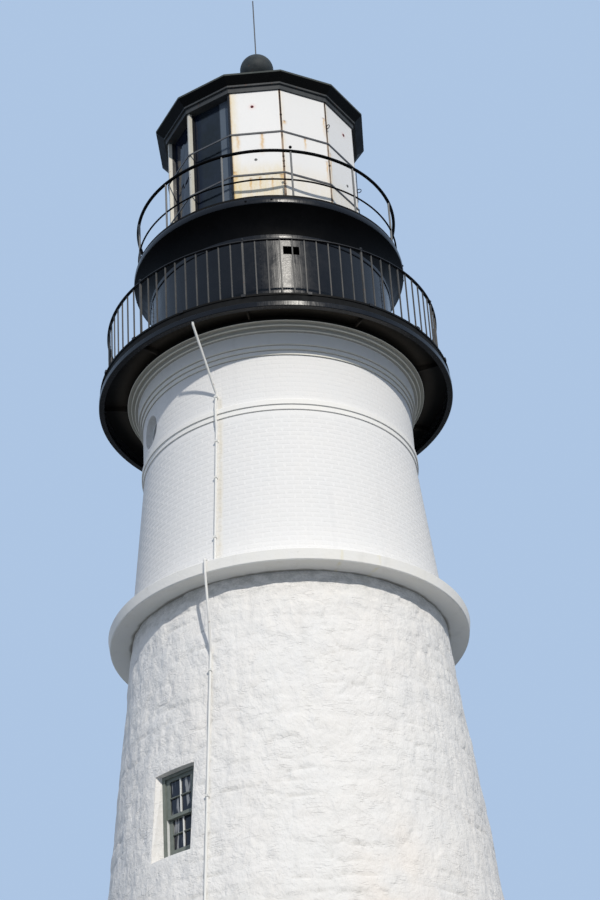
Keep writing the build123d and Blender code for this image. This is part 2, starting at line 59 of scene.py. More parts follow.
# Metres, z up, ground at 0. An azimuth of 0 faces -Y and a positive one turns towards +X.
tower = {
    "baseRadius": cadBounds[1].x, "stoneTopRadius": 2.150,
    "boreBase": cadBounds[1].x - 1.150, "boreTop": 1.500,
    "brickLowRadius": 2.166, "brickTopRadius": 1.943,
    "stoneTop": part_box("belt_course")[0].z, "brickLow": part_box("belt_course")[1].z,
    "stringLow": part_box("string_course")[0].z, "stringTop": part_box("string_course")[1].z,
    "corniceLow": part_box("cornice")[0].z, "deckTop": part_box("gallery_deck")[1].z,
    "drumTop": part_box("watch_wall")[1].z, "drumRadius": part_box("watch_wall")[1].x,
    "fasciaLow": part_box("upper_edge")[0].z, "eaveEdge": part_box("lantern_eave")[1].z - 0.030,
    "glassLow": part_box("lantern_glass")[0].z, "glassTop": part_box("lantern_glass")[1].z,
    "cornerRadius": 1.488, "facets": 12,
}
openings = {
    "window": {"azimuths": (-39.5, 140.5), "width": 0.650, "low": 10.520, "high": 11.685},
    "door": {"azimuths": (-159.5,), "width": 0.900, "low": 0.150, "high": 2.300},
    "oculus": {"azimuths": (-67.2, 112.8), "radius": 0.240, "z": 17.330},
}


def stoneRadius(z):
    # straight batter from the base radius to the radius under the belt course
    return tower["baseRadius"] + (tower["stoneTopRadius"] - tower["baseRadius"]) * z / tower["stoneTop"]


def boreRadius(z):
    # straight line from the wide bore at the ground to the bore at the belt course
    return tower["boreBase"] + (tower["boreTop"] - tower["boreBase"]) * z / tower["stoneTop"]


def brickRadius(z):
    # straight batter up to the string course, plumb above it
    share = np.minimum(1.0, (z - tower["brickLow"]) / (tower["stringLow"] - tower["brickLow"]))
    return tower["brickLowRadius"] + (tower["brickTopRadius"] - tower["brickLowRadius"]) * share


def smoothstep(value, low, high):
    # 0 below low, 1 above high, 3t^2 - 2t^3 between
    share = np.clip((value - low) / (high - low), 0.0, 1.0)
    return share * share * (3.0 - 2.0 * share)


def around(degreesAround, radius, z):
    # cylinder coordinates to x, y, z: x = r sin a, y = -r cos a
    angle = np.radians(degreesAround)
    radius, z = np.broadcast_arrays(radius, z)
    return np.stack([radius * np.sin(angle), -radius * np.cos(angle), z * np.ones_like(angle)], axis=-1)


def evenly(count):
    # azimuths that part a full turn evenly
    return np.arange(count) * 360.0 / count


def linked(name, data):
    # a new object in the scene
    thing = bpy.data.objects.new(name, data)
    bpy.context.collection.objects.link(thing)
    return thing


# Camera and lamps
view = {
    "place": (0.0, -26.7257, 0.5717), "pitch": 32.1422, "yaw": -0.65225, "roll": -3.68332,   # degrees
    "focalPixels": 2192.22, "imageHeight": 900, "sensor": 36.0, "clip": 400.0,
}
lamps = {                         # azimuth, height and angle in degrees
    "sun": {"azimuth": 16.0, "height": 31.0, "power": 2.68, "angle": 1.2, "colour": (1.0, 0.955, 0.875)},
    "fill": {"azimuth": 196.0, "height": 30.0, "power": 0.5, "angle": 40.0, "colour": (0.9, 0.95, 1.0)},
    "flank": {"azimuth": -58.0, "height": 28.0, "power": 0.30, "angle": 60.0, "colour": (0.84, 0.90, 1.0)},
}
lampDistance = 60.0


def addCamera():
    # the camera's right, down and forward axes: a level frame turned by yaw, then pitch, then roll
    pitch, yaw, roll = (math.radians(view[key]) for key in ("pitch", "yaw", "roll"))
    level = Matrix(((1, 0, 0), (0, 0, -1), (0, 1, 0)))
    turn = Matrix.Rotation(roll, 3, "Z") @ Matrix.Rotation(-pitch, 3, "X") @ Matrix.Rotation(yaw, 3, "Y")
    right, down, forward = turn @ level
    lens = bpy.data.cameras.new("camera")
    lens.sensor_width = view["sensor"]
    lens.lens = view["focalPixels"] * view["sensor"] / view["imageHeight"]
    lens.clip_end = view["clip"]
    camera = linked("camera", lens)
    axes = Matrix((right, -down, -forward)).transposed()
    camera.matrix_world = Matrix.Translation(view["place"]) @ axes.to_4x4()
    bpy.context.scene.camera = camera


def addLamp(name, setting):
    # a sun lamp that shines from an azimuth and height; only the sun itself shows in gloss
    data = bpy.data.lights.new(name, "SUN")
    data.energy, data.color, data.angle = setting["power"], setting["colour"], math.radians(setting["angle"])
    height = math.radians(setting["height"])
    source = Vector(around(setting["azimuth"], math.cos(height), math.sin(height)))
    lamp = linked(name, data)
    lamp.rotation_euler = (-source).to_track_quat("-Z", "Y").to_euler()
    lamp.location = source * lampDistance
    lamp.visible_glossy = name == "sun"


# Node helpers: they draw in the tree that the pen holds, on the coordinates that it holds as place
pen = {}


def feed(node, values):
    # numbers, colours or other nodes' sockets into a node's inputs
    for name, value in values.items():
        socket = node.inputs[name]
        if isinstance(value, bpy.types.NodeSocket):
            pen["tree"].links.new(value, socket)
        else:
            socket.default_value = (*value, 1.0) if socket.type == "RGBA" and len(value) == 3 else value
    return node


def put(kind, values=None, **options):
    # one node: options are its own settings, values go into its inputs
    node = pen["tree"].nodes.new("ShaderNode" + kind)
    for name, value in options.items():
        setattr(node, name, value)
    return feed(node, values or {})


def calc(operation, *values, clamp=False):
    # one sum on numbers or sockets
    return put("Math", dict(enumerate(values)), operation=operation, use_clamp=clamp).outputs[0]


def times(first, *others):
    # product of masks and numbers
    for other in others:
        first = calc("MULTIPLY", first, other)
    return first


def timesPlus(value, factor, base, clamp=False):
    # value times factor plus base
    return calc("MULTIPLY_ADD", value, factor, base, clamp=clamp)


def ramp(value, low, high, toLow=0.0, toHigh=1.0):
    # smooth step of a value from low..high to toLow..toHigh
    inputs = {"Value": value, "From Min": low, "From Max": high, "To Min": toLow, "To Max": toHigh}
    return put("MapRange", inputs, interpolation_type="SMOOTHSTEP").outputs[0]


def band(value, low, high, soft):
    # 1 between two values, with soft ends
    return times(ramp(value, low - soft, low + soft), ramp(value, high - soft, high + soft, 1.0, 0.0))


def over(under, top, *shares):
    # one colour laid over another by the product of the shares
    return put("Mix", {0: times(*shares), 6: under, 7: top}, data_type="RGBA").outputs[2]


def stretched(tall):
    # the place with its height multiplied
    if tall == 1.0:
        return pen["place"]
    size = (1.0, 1.0, tall)
    if isinstance(tall, bpy.types.NodeSocket):
        size = put("CombineXYZ", {"X": 1.0, "Y": 1.0, "Z": tall}).outputs[0]
    return put("VectorMath", {0: pen["place"], 1: size}, operation="MULTIPLY").outputs[0]


def noise(scale, detail=3.0, rough=0.55, bend=0.0, tall=1.0):
    # fractal noise of 0 to 1, its cells squeezed in height by tall
    look = {"Scale": scale, "Detail": detail, "Roughness": rough, "Distortion": bend}
    return put("TexNoise", {"Vector": stretched(tall), **look}).outputs["Fac"]


def placeParts():
    # x, y and z of the place
    return put("SeparateXYZ", {0: pen["place"]}).outputs


def axisDistance():
    # distance from the tower's axis: length of (x, y, 0)
    return put("VectorMath", {0: stretched(0.0)}, operation="LENGTH").outputs["Value"]


def azimuthMask(azimuth, width):
    # 1 at an azimuth, falling to 0 at a width either side: angle = atan2(x, -y)
    parts = placeParts()
    angle = calc("ARCTAN2", parts["X"], times(parts["Y"], -1.0))
    gap = calc("ABSOLUTE", calc("SUBTRACT", angle, math.radians(azimuth)))
    return ramp(gap, math.radians(width), 0.0)


def nearLine(azimuth, radius, reach):
    # 1 within reach of a plumb line at an azimuth and radius, 0 further off
    target = tuple(around(azimuth, radius, 0.0))
    gap = put("VectorMath", {0: stretched(0.0), 1: target}, operation="DISTANCE").outputs["Value"]
    return ramp(gap, reach, reach * 0.8)


def attribute(name):
    # a number that the mesh carries
    return put("Attribute", attribute_name=name).outputs["Fac"]


# Shared patterns: each is a group that takes a vector and named numbers and puts out one mask or height


def mottleMask(given):
    # soft patches: broad noise plus finer noise, stretched to a mask of 0 to 1
    fine = noise(times(given["Scale"], 5.3), 3.0, 0.6)
    both = timesPlus(fine, 0.35, times(noise(given["Scale"], 4.0, 0.6), 0.65))
    return timesPlus(calc("SUBTRACT", both, 0.5), times(given["Contrast"], 3.2), 0.5, clamp=True)


def runsMask(given):
    # rain streaks: noise squeezed across and drawn out down the wall, kept above a threshold
    drawn = noise(given["Scale"], 3.0, 0.6, tall=given["Draw"])
    return ramp(drawn, given["Threshold"], calc("ADD", given["Threshold"], 0.16))


def grainHeight(given):
    # surface height: coarse lumps, brush or trowel marks and fine grit added together
    lumps = noise(given["Scale"], 4.0, 0.6, 0.2, tall=given["Drag"])
    return timesPlus(noise(times(given["Scale"], 6.0), 2.0, 0.7), given["Grit"], lumps)


def fleckMask(given):
    # small round chips or spots: cell distance below a size, thinned out by a slow noise
    bent = put("TexNoise", {"Vector": pen["place"], "Scale": 22.0, "Detail": 2.0}).outputs["Color"]
    moved = put("VectorMath", {0: bent, 1: (0.03, 0.03, 0.03), 2: pen["place"]}, operation="MULTIPLY_ADD")
    cells = put("TexVoronoi", {"Vector": moved.outputs[0], "Scale": given["Scale"]}).outputs["Distance"]
    spot = ramp(cells, times(given["Size"], 0.5), given["Size"], 1.0, 0.0)
    where = noise(times(given["Scale"], 0.35), 2.0)
    return times(spot, ramp(where, given["Rarity"], calc("ADD", given["Rarity"], 0.06)))


def newGroup(name, draw, output, *labels):
    # a node group, given back as a function that puts it where the pen is
    tree = bpy.data.node_groups.new(name, "ShaderNodeTree")
    tree.interface.new_socket("Vector", in_out="INPUT", socket_type="NodeSocketVector")
    for label in labels:
        tree.interface.new_socket(label, in_out="INPUT", socket_type="NodeSocketFloat")
    tree.interface.new_socket(output, in_out="OUTPUT", socket_type="NodeSocketFloat")
    given = tree.nodes.new("NodeGroupInput").outputs
    pen.update(tree=tree, place=given["Vector"])
    feed(tree.nodes.new("NodeGroupOutput"), {output: draw(given)})

    def use(*values, tall=1.0):
        inputs = {"Vector": stretched(tall), **dict(zip(labels, values))}
        return put("Group", inputs, node_tree=tree).outputs[0]

    return use


patches = newGroup("mottle", mottleMask, "Mask", "Scale", "Contrast")
streaks = newGroup("runs", runsMask, "Mask", "Scale", "Draw", "Threshold")
coat = newGroup("grain", grainHeight, "Height", "Scale", "Grit", "Drag")
chips = newGroup("flecks", fleckMask, "Mask", "Scale", "Size", "Rarity")


def newPaint(name, roughness, specular, **sockets):
    # a material with its own Principled shader, and the Object coordinates that its patterns read
    material = bpy.data.materials.new(name)
    material.use_nodes = True
    shader = material.node_tree.nodes["Principled BSDF"]
    pen.update(tree=material.node_tree, shader=shader)
    feed(shader, {"Roughness": roughness, "Specular IOR Level": specular})
    feed(shader, {key.replace("_", " "): value for key, value in sockets.items()})
    pen["place"] = put("TexCoord").outputs["Object"]
    return material


def cover(colour, height=None, depth=0.0, rough=None):
    # join a colour, and a bump and a roughness where given, to the shader
    feed(pen["shader"], {"Base Color": colour})
    if height is not None:
        feed(pen["shader"], {"Normal": put("Bump", {"Height": height, "Distance": depth}).outputs[0]})
    if rough is not None:
        feed(pen["shader"], {"Roughness": rough})


# Masonry paints


def wash(name, tint, warm, cool, dirtAndShade, dirtShare, lumpScale, lumpDepth, drag=1.0, groove=False):
    # limewashed masonry: warm and cool patches, faint rain streaks, dark dirt in the joints, painted shade in
    # level creases where grooved, rough coat
    material = newPaint(name, 0.82, 0.25)
    colour = over(tint, warm, patches(0.55, 1.1))
    colour = over(colour, cool, patches(1.9, 1.0, tall=0.7), 0.55)
    colour = over(colour, dirtAndShade, streaks(5.0, 0.10, 0.56), dirtShare)
    colour = over(colour, dirtAndShade, chips(7.0, 0.16, 0.58), dirtShare * 1.6)
    height = coat(lumpScale, 0.25, drag)
    if groove:
        colour = over(colour, dirtAndShade, attribute("joint"), 0.30)
        # short level creases: narrow valleys where a bent noise crosses its middle
        bent = noise(3.2, 3.0, 0.55, 0.2, tall=4.2)
        valley = ramp(calc("ABSOLUTE", calc("SUBTRACT", bent, 0.5)), 0.0, 0.034, 1.0, 0.0)
        crease = times(valley, ramp(noise(4.1, 2.0, tall=1.6), 0.50, 0.60))
        # painted shade: the crease valleys are darkened
        colour = over(colour, dirtAndShade, crease, 0.06)
        # broad swells: strong in glancing light on the flanks, faint in front
        height = timesPlus(crease, -0.20, height)
        height = timesPlus(noise(7.0, 4.0, 0.6, 0.3, tall=0.85), 1.5, height)
    cover(colour, height, lumpDepth)
    return material, colour


def rubbleWash():
    # damp blotches on the wall close under the belt, and a peach flush low on the right
    material, colour = wash(
        "rubbleWash", (0.870, 0.855, 0.830), (0.880, 0.845, 0.805), (0.845, 0.840, 0.835),
        (0.45, 0.44, 0.41), 0.07, 15.0, 0.016, 0.7, groove=True)
    z = placeParts()["Z"]
    colour = over(colour, (0.33, 0.34, 0.31), patches(6.5, 1.8, tall=1.5), ramp(z, 13.86, 14.10), 0.42)
    flush = times(azimuthMask(24.0, 17.0), ramp(z, 11.6, 9.6), ramp(noise(1.4), 0.36, 0.66))
    cover(over(colour, (0.900, 0.815, 0.735), flush, 0.7))
    return material


def brickWash():
    # cream stain on the wall beside the conduit
    material, colour = wash(
        "brickWash", (0.860, 0.850, 0.838), (0.862, 0.845, 0.825), (0.842, 0.840, 0.838),
        (0.52, 0.52, 0.52), 0.06, 26.0, 0.002)
    stain = times(azimuthMask(-23.2, 1.9), patches(5.0, 1.2, tall=0.4), ramp(placeParts()["Z"], 17.25, 17.0))
    cover(over(colour, (0.74, 0.66, 0.50), stain, 0.7))
    return material


dressed = {
    "joint": (2.115, 2.165), "stains": (17.0, 29.3),             # radii in the belt's soffit, azimuths
    "courseFeet": (17.700, 17.765, 17.830, 18.030, 18.085, 18.130),   # of the cornice
    "upperCourses": 18.030, "blackFrom": 18.140,
}


def stoneWash():
    # dressed stone of belt, string and cornice: cream face, a brown joint in the belt's soffit, string and
    # cornice soffits painted grey as shade
    material, colour = wash(
        "stoneWash", (0.930, 0.915, 0.880), (0.930, 0.905, 0.845), (0.905, 0.900, 0.895),
        (0.46, 0.44, 0.40), 0.10, 20.0, 0.003)
    z, belt = placeParts()["Z"], tower["stoneTop"]
    inner = timesPlus(noise(3.0), -0.08, axisDistance())
    soffit = times(ramp(z, belt + 0.003, belt + 0.012, 1.0, 0.0), ramp(z, belt - 0.2, belt - 0.1))
    colour = over(colour, (0.15, 0.12, 0.08), ramp(inner, *dressed["joint"], 1.0, 0.0), soffit, 0.7)
    for azimuth in dressed["stains"]:
        stain = times(azimuthMask(azimuth, 1.1), band(z, 14.19, 14.37, 0.02))
        colour = over(colour, (0.82, 0.73, 0.38), stain, ramp(noise(9.0, tall=0.4), 0.35, 0.7), 0.45)
    # painted shade on the soffits, darker olive on the upper courses, painted highlight lines along the lower
    # edges, a black top course
    facing = put("SeparateXYZ", {0: put("NewGeometry").outputs["Normal"]}).outputs["Z"]
    # painted shade: faces turned down above 16 m are greyed
    soffitShade = times(ramp(facing, -0.35, -0.75), ramp(z, 16.0, 16.1), ramp(z, 17.3, 17.4, 0.36, 1.0))
    colour = over(colour, (0.20, 0.18, 0.15), soffitShade, 0.80)
    upper = ramp(z, dressed["upperCourses"], dressed["upperCourses"] + 0.004)
    colour = over(colour, (0.28, 0.265, 0.21), upper, 0.62)
    # painted highlight: lighter lines along the lower edge of each course
    for foot in dressed["courseFeet"]:
        colour = over(colour, (0.93, 0.90, 0.80), band(z, foot + 0.001, foot + 0.017, 0.002), 0.9)
    cover(over(colour, (0.008, 0.007, 0.006), ramp(z, dressed["blackFrom"], dressed["blackFrom"] + 0.003)))
    return material


def floorStone():
    # grey flags of the ground floor
    return wash("floorStone", (0.45, 0.44, 0.42), (0.40, 0.38, 0.35), (0.47, 0.47, 0.46),
                (0.20, 0.19, 0.17), 0.4, 14.0, 0.006)[0]


# Iron paints: colour, lighter colour, roughness, specular, rust share, depth, scale and drag of the relief;
# a row may leave out the last ones, which are then the usual ones
ironUsual = (0.0, 0.0015, 18.0, 0.5)
irons = {
    "glossIron": ((0.0035, 0.0035, 0.0050), (0.007, 0.007, 0.009), 0.245, 0.27, 0.0, 0.0040, 7.0, 0.10),
    "coveIron": ((0.0018, 0.0018, 0.0020), (0.004, 0.004, 0.0045), 0.42, 0.05),
    "deckIron": ((0.0050, 0.0046, 0.0042), (0.011, 0.0100, 0.0090), 0.60, 0.10),
    "railIron": ((0.065, 0.062, 0.057), (0.135, 0.128, 0.120), 0.52, 0.3, 0.25, 0.0010, 40.0),
    "headIron": ((0.040, 0.043, 0.045), (0.085, 0.088, 0.090), 0.50, 0.25, 0.25),
    "roofIron": ((0.030, 0.034, 0.032), (0.075, 0.082, 0.078), 0.48, 0.12, 0.2),
    "ballIron": ((0.020, 0.024, 0.026), (0.095, 0.105, 0.105), 0.58, 0.18, 0.35, 0.004, 9.0),
    "postIron": ((0.14, 0.14, 0.138), (0.27, 0.27, 0.26), 0.5, 0.3, 0.2, 0.0008, 40.0),
    "rodMetal": ((0.060, 0.060, 0.064), (0.13, 0.13, 0.135), 0.5, 0.5, 0.2, 0.0006, 60.0),
    "creamIron": ((0.62, 0.585, 0.50), (0.72, 0.70, 0.63), 0.48, 0.3, 0.5, 0.0012, 30.0),
    "boltIron": ((0.12, 0.016, 0.022), (0.24, 0.035, 0.045), 0.6, 0.2, 0.4, 0.001, 50.0),
    "pipePaint": ((0.79, 0.78, 0.745), (0.84, 0.835, 0.81), 0.55, 0.25, 0.35, 0.0008, 40.0),
}
rustColour, blackCoat = (0.20, 0.075, 0.03), (0.012, 0.012, 0.014)


def dullWeb(tone, rough, z):
    # dull black on the web under the deck's edge
    web = band(z, 18.176, 18.279, 0.002)
    cover(over(tone, (0.003, 0.003, 0.003), web), rough=timesPlus(web, 0.6, rough, clamp=True))


def deckBounceLight(tone, rough, z):
    # painted bounce light: a lighter brown where the deck's soffit meets the wall
    inner = ramp(axisDistance(), 2.40, 2.20)
    cover(over(tone, (0.055, 0.046, 0.037), inner, band(z, 18.0, 18.29, 0.004)))


def blackEnds(tone, rough, z):
    # a black handrail and black feet on weathered bars
    deck = tower["deckTop"]
    rail, foot = ramp(z, deck + 0.985, deck + 1.000), ramp(z, deck + 0.02, deck + 0.10, 1.0, 0.0)
    cover(over(tone, blackCoat, calc("MAXIMUM", rail, foot)))


def eaveLine(tone, rough, z):
    # painted shade: near black on the eave's soffit; a pale line along its edge
    edge = tower["eaveEdge"]
    # painted shade under the eave's edge
    tone = over(tone, (0.0035, 0.0035, 0.0035), ramp(z, edge - 0.001, edge - 0.004))
    cover(over(tone, (0.16, 0.18, 0.165), band(z, edge + 0.002, edge + 0.030, 0.003), 0.18))


def glazingSide(tone, rough, z):
    # corner bars: pale fronts and outer sides, black glazing side; the one beside the plates is all black
    deep = ramp(axisDistance(), 1.432, 1.426)
    cover(over(tone, blackCoat, calc("MAXIMUM", deep, nearLine(-17.5, tower["cornerRadius"] - 0.06, 0.16))))


ironExtras = {"glossIron": dullWeb, "deckIron": deckBounceLight, "railIron": blackEnds, "roofIron": eaveLine,
              "creamIron": glazingSide}


def iron(name):
    # thick gloss paint on iron: brush waves, dull patches, dusty top coat and a few rust chips
    setting = irons[name] + ironUsual[len(irons[name]) - 4:]
    colour, light, roughness, specular, rustShare, depth, scale, drag = setting
    material = newPaint(name, roughness, specular)
    dull = patches(2.6, 1.2)
    tone = over(colour, light, dull, 0.55)
    tone = over(tone, light, streaks(9.0, 0.12, 0.54), 0.30)
    if rustShare:
        tone = over(tone, rustColour, chips(16.0, 0.30, 0.56), rustShare)
    rough = timesPlus(dull, 0.16, roughness - 0.06)
    cover(tone, coat(scale, 0.12, drag), depth, rough)
    if name in ironExtras:
        ironExtras[name](tone, rough, placeParts()["Z"])
    return material


# Other paints


def platePaint():
    # white plates: mottled paint with rust and cream stains that the mesh carries as attributes
    material = newPaint("platePaint", 0.46, 0.35)
    fine = patches(14.0, 1.2, tall=0.35)
    colour = over((0.875, 0.858, 0.835), (0.855, 0.845, 0.830), patches(2.2, 1.0))
    colour = over(colour, (0.80, 0.66, 0.38), attribute("cream"), timesPlus(fine, 0.7, 0.35))
    rust = calc("MULTIPLY", attribute("rust"), timesPlus(fine, 0.8, 0.55), clamp=True)
    colour = over(colour, (0.72, 0.42, 0.11), rust)
    colour = over(colour, (0.17, 0.06, 0.03), attribute("brown"), fine)
    colour = over(colour, (0.74, 0.36, 0.32), attribute("halo"), 0.55)
    cover(colour, coat(16.0, 0.2, 0.4), 0.0012, timesPlus(rust, 0.4, 0.44))
    return material


def rustIron():
    # joint fillets between the plates: black above, broken by rust and by old white paint further down
    material = newPaint("rustIron", 0.7, 0.2)
    fine = patches(30.0, 1.6)
    colour = over((0.022, 0.020, 0.019), (0.13, 0.055, 0.025), fine, 0.45)
    lower = ramp(placeParts()["Z"], 22.35, 22.10)
    cover(over(colour, (0.40, 0.30, 0.22), lower, patches(6.0, 1.8, tall=0.6)), fine, 0.002)
    return material


glassBands = (                          # azimuth, radius, reach and colour of upright bands in the lantern's glass
    # first row: painted reflection of the sky, navy over the facet at -62.5; second row: a lighter slate band
    (-62.5, 1.33, 0.52, (0.004, 0.007, 0.020)),
    (-21.5, 1.34, 0.13, (0.13, 0.16, 0.20)),
)


def lanternGlass():
    # old dark glass: slow waves in the surface, a salty film, and upright bands: a painted navy sky
    # reflection and a lighter slate band
    material = newPaint("lanternGlass", 0.06, 0.20, Transmission_Weight=0.10, IOR=1.45)
    tone = over((0.012, 0.016, 0.018), (0.020, 0.028, 0.045), patches(1.6, 1.0))
    for azimuth, radius, reach, colour in glassBands:
        tone = over(tone, colour, nearLine(azimuth, radius, reach), 0.9)
    cover(tone, noise(5.0, 2.0, tall=0.45), 0.010)
    return material


def windowGlass():
    # wavy sash panes: navy with whitish streaks of painted reflection
    material = newPaint("windowGlass", 0.05, 0.4, Transmission_Weight=0.15)
    bent = noise(11.0, 2.0, 0.5, 1.2, tall=0.16)
    cover(over((0.014, 0.018, 0.030), (0.40, 0.41, 0.42), ramp(bent, 0.49, 0.60), 0.8), bent, 0.004)
    return material


def wood(name, colour, light, dark):
    # painted wood: long grain under the paint, chalky patches, dark where the paint is thin
    material = newPaint(name, 0.55, 0.3)
    fibre = noise(60.0, 3.0, 0.6, 0.4, tall=0.06)
    tone = over(colour, light, patches(5.0, 1.2))
    tone = over(tone, dark, ramp(fibre, 0.55, 0.72), 0.25)
    cover(over(tone, dark, chips(22.0, 0.26, 0.60), 0.5), fibre, 0.0012)
    return material


made = [
    rubbleWash(), brickWash(), stoneWash(), floorStone(),
    platePaint(), rustIron(), lanternGlass(), windowGlass(),
    wood("greenPaint", (0.150, 0.172, 0.152), (0.205, 0.225, 0.205), (0.07, 0.08, 0.07)),
    wood("whitePaint", (0.68, 0.69, 0.68), (0.76, 0.77, 0.77), (0.33, 0.30, 0.26)),
]
paints = {material.name: material for material in made + [iron(name) for name in irons]}
nodePaints = {
    "rubbleWash": "stone_wall", "floorStone": "ground_floor", "brickWash": "brick_wall",
    "stoneWash": "belt_course string_course cornice",
    "glossIron": "gallery_edge watch_wall watch_hatch upper_edge",
    "deckIron": "gallery_deck gallery_ribs upper_deck lantern_sill",
    "railIron": "gallery_railing gallery_posts", "coveIron": "watch_cove upper_rails",
    "postIron": "upper_posts", "creamIron": "lantern_mullions", "lanternGlass": "lantern_glass",
    "platePaint": "lantern_panels", "rodMetal": "lantern_hoops lightning_rod", "headIron": "lantern_head",
    "roofIron": "lantern_eave lantern_roof", "ballIron": "ventilator", "whitePaint": "oculus_frames",
    "greenPaint": "window_frames window_sashes door_frame door_leaf",
    "windowGlass": "window_panes oculus_panes", "pipePaint": "conduit conduit_clips",
}
paintOf = {name: paint for paint, names in nodePaints.items() for name in names.split()}


def setPaint(piece, paint):
    # one material in place of all others
    piece.data.materials.clear()
    piece.data.materials.append(paints[paint])


for name, node in nodes.items():
    setPaint(node, paintOf[name.rstrip("0123456789").rstrip("_")])
print("paints:", len(paints), "materials on", len(nodes), "pieces")


# Mesh helpers


def gridFaces(rows, columns, first=0, keep=None):
    # quads of a grid of points laid out row by row, counter-clockwise with columns right and rows up
    row, column = np.mgrid[0:rows - 1, 0:columns - 1]
    corner = first + row * columns + column
    quads = np.stack([corner, corner + 1, corner + columns + 1, corner + columns], axis=-1)
    return quads.reshape(-1, 4) if keep is None else quads[keep]


def ringQuads(rings, count, loop=False):
    # quads between closed rings of points laid out ring by ring; in a loop the last ring meets the first
    ring, index = np.arange(rings if loop else rings - 1)[:, None], np.arange(count)[None, :]
    above, beside = (ring + 1) % rings, (index + 1) % count
    quads = [ring * count + index, ring * count + beside, above * count + beside, above * count + index]
    return np.stack(quads, axis=-1).reshape(-1, 4)


def strip(front, back):
    # one plane face between a line of points and the line behind it
    return np.concatenate([front, back[::-1]])[None]


def buildMesh(name, points, faces, smooth=True):
    # points as (n, 3); faces as a list of index arrays, each (count, corners)
    corners = np.concatenate([group.ravel() for group in faces]).astype(np.int32)
    sizes = np.concatenate([np.full(len(group), group.shape[1]) for group in faces])
    starts = np.concatenate([[0], np.cumsum(sizes)[:-1]]).astype(np.int32)
    mesh = bpy.data.meshes.new(name)
    mesh.vertices.add(len(points))
    mesh.vertices.foreach_set("co", np.ascontiguousarray(points, dtype=np.float32).ravel())
    mesh.loops.add(len(corners))
    mesh.loops.foreach_set("vertex_index", corners)
    mesh.polygons.add(len(sizes))
    mesh.polygons.foreach_set("loop_start", starts)
    mesh.polygons.foreach_set("use_smooth", np.full(len(sizes), smooth))
    mesh.update(calc_edges=True)
    return mesh


def cornerNormals(mesh):
    # each face's own normal, once for every corner of the face
    normals = np.zeros(len(mesh.polygons) * 3, np.float32)
    mesh.polygons.foreach_get("normal", normals)
    sizes = np.zeros(len(mesh.polygons), np.int32)
    mesh.polygons.foreach_get("loop_total", sizes)
    return np.repeat(normals.reshape(-1, 3), sizes, axis=0)


def addPiece(name, mesh, paint, slotName, *replaced):
    # a mesh as a named piece on the tower's body, in place of the pieces that it replaces
    piece = linked(name, mesh)
    setPaint(piece, paint)
    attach(piece, "root")
    if replaced:
        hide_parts(*replaced)


def joined(name, parts, paint, slotName, smooth=False):
    # one piece from several sets of points and faces
    starts = np.cumsum([0] + [len(points) for points, _ in parts])
    faces = [group + start for (_, groups), start in zip(parts, starts) for group in groups]
    mesh = buildMesh(name, np.concatenate([points for points, _ in parts]), faces, smooth)
    addPiece(name, mesh, paint, slotName)


def setAttribute(mesh, name, values, others):
    # one number for every point: the grid's values first, 0 for the other points
    layer = mesh.attributes.new(name, "FLOAT", "POINT")
    layer.data.foreach_set("value", np.concatenate([values.ravel(), np.zeros(others)]).astype(np.float32))


def repeated(shape, places):
    # one small shape at many places: places is (count, 4, 4), points go through each in turn
    points, faces = shape
    flat = np.concatenate([points, np.ones((len(points), 1))], axis=1)
    every = np.einsum("kij,nj->kni", places, flat)[:, :, :3]
    shift = (np.arange(len(places)) * len(points))[:, None, None]
    return every.reshape(-1, 3), [(group[None] + shift).reshape(-1, group.shape[1]) for group in faces]


def outwards(azimuths, radius, z, along=0.0):
    # frames on the tower's side: local x across, local y up, local z outwards
    angle, radius, z, along = np.broadcast_arrays(np.radians(azimuths), radius, z, along)
    places = np.zeros((angle.size, 4, 4))
    places[:, 0, 0], places[:, 1, 0] = np.cos(angle), np.sin(angle)
    places[:, 0, 2], places[:, 1, 2] = np.sin(angle), -np.cos(angle)
    places[:, 0, 3] = radius * np.sin(angle) + along * np.cos(angle)
    places[:, 1, 3] = -radius * np.cos(angle) + along * np.sin(angle)
    places[:, 2, 3] = z
    places[:, 2, 1] = places[:, 3, 3] = 1.0
    return places


def at(shape, *place):
    # small shapes that stand on the tower's side
    return repeated(shape, outwards(*place))


def turns(azimuths):
    # rotations about the tower's axis
    angle = np.radians(azimuths)
    places = np.zeros((len(angle), 4, 4))
    places[:, 0, 0], places[:, 0, 1] = np.cos(angle), -np.sin(angle)
    places[:, 1, 0], places[:, 1, 1] = np.sin(angle), np.cos(angle)
    places[:, 2, 2] = places[:, 3, 3] = 1.0
    return places


def circle(sides):
    # points of a unit circle, counter-clockwise
    turn = np.arange(sides) * 2 * np.pi / sides
    return np.stack([np.cos(turn), np.sin(turn)], axis=-1)


def solid(outlines, *heights):
    # closed solid through level outlines, counter-clockwise from above, one at each height
    outlines = np.asarray(outlines)
    levels, count = outlines.shape[:2]
    upright = np.broadcast_to(np.reshape(heights, (-1, 1, 1)), (levels, count, 1))
    index = np.arange(count)
    faces = [ringQuads(levels, count), index[::-1][None], ((levels - 1) * count + index)[None]]
    return np.concatenate([outlines, upright], axis=-1).reshape(-1, 3), faces


sunk = 0.004                      # metres that small shapes stand in what carries them


def dome(radius, height, sides=10):
    # round bolt head: a sunk foot and three rings on a quarter circle
    share = np.radians([0.0, 0.0, 35.0, 70.0])
    outlines = (radius * np.cos(share))[:, None, None] * circle(sides)
    return solid(outlines, -sunk, *(height * np.sin(share[1:])))


def bar(width, height, depth, ease=0.0):
    # box with its foot sunk and its front face eased by a narrow chamfer
    corners, half = np.array(((-1, -1), (1, -1), (1, 1), (-1, 1))), np.array((width / 2, height / 2))
    return solid([corners * half, corners * half, corners * (half - ease)], -sunk, depth - ease, depth)


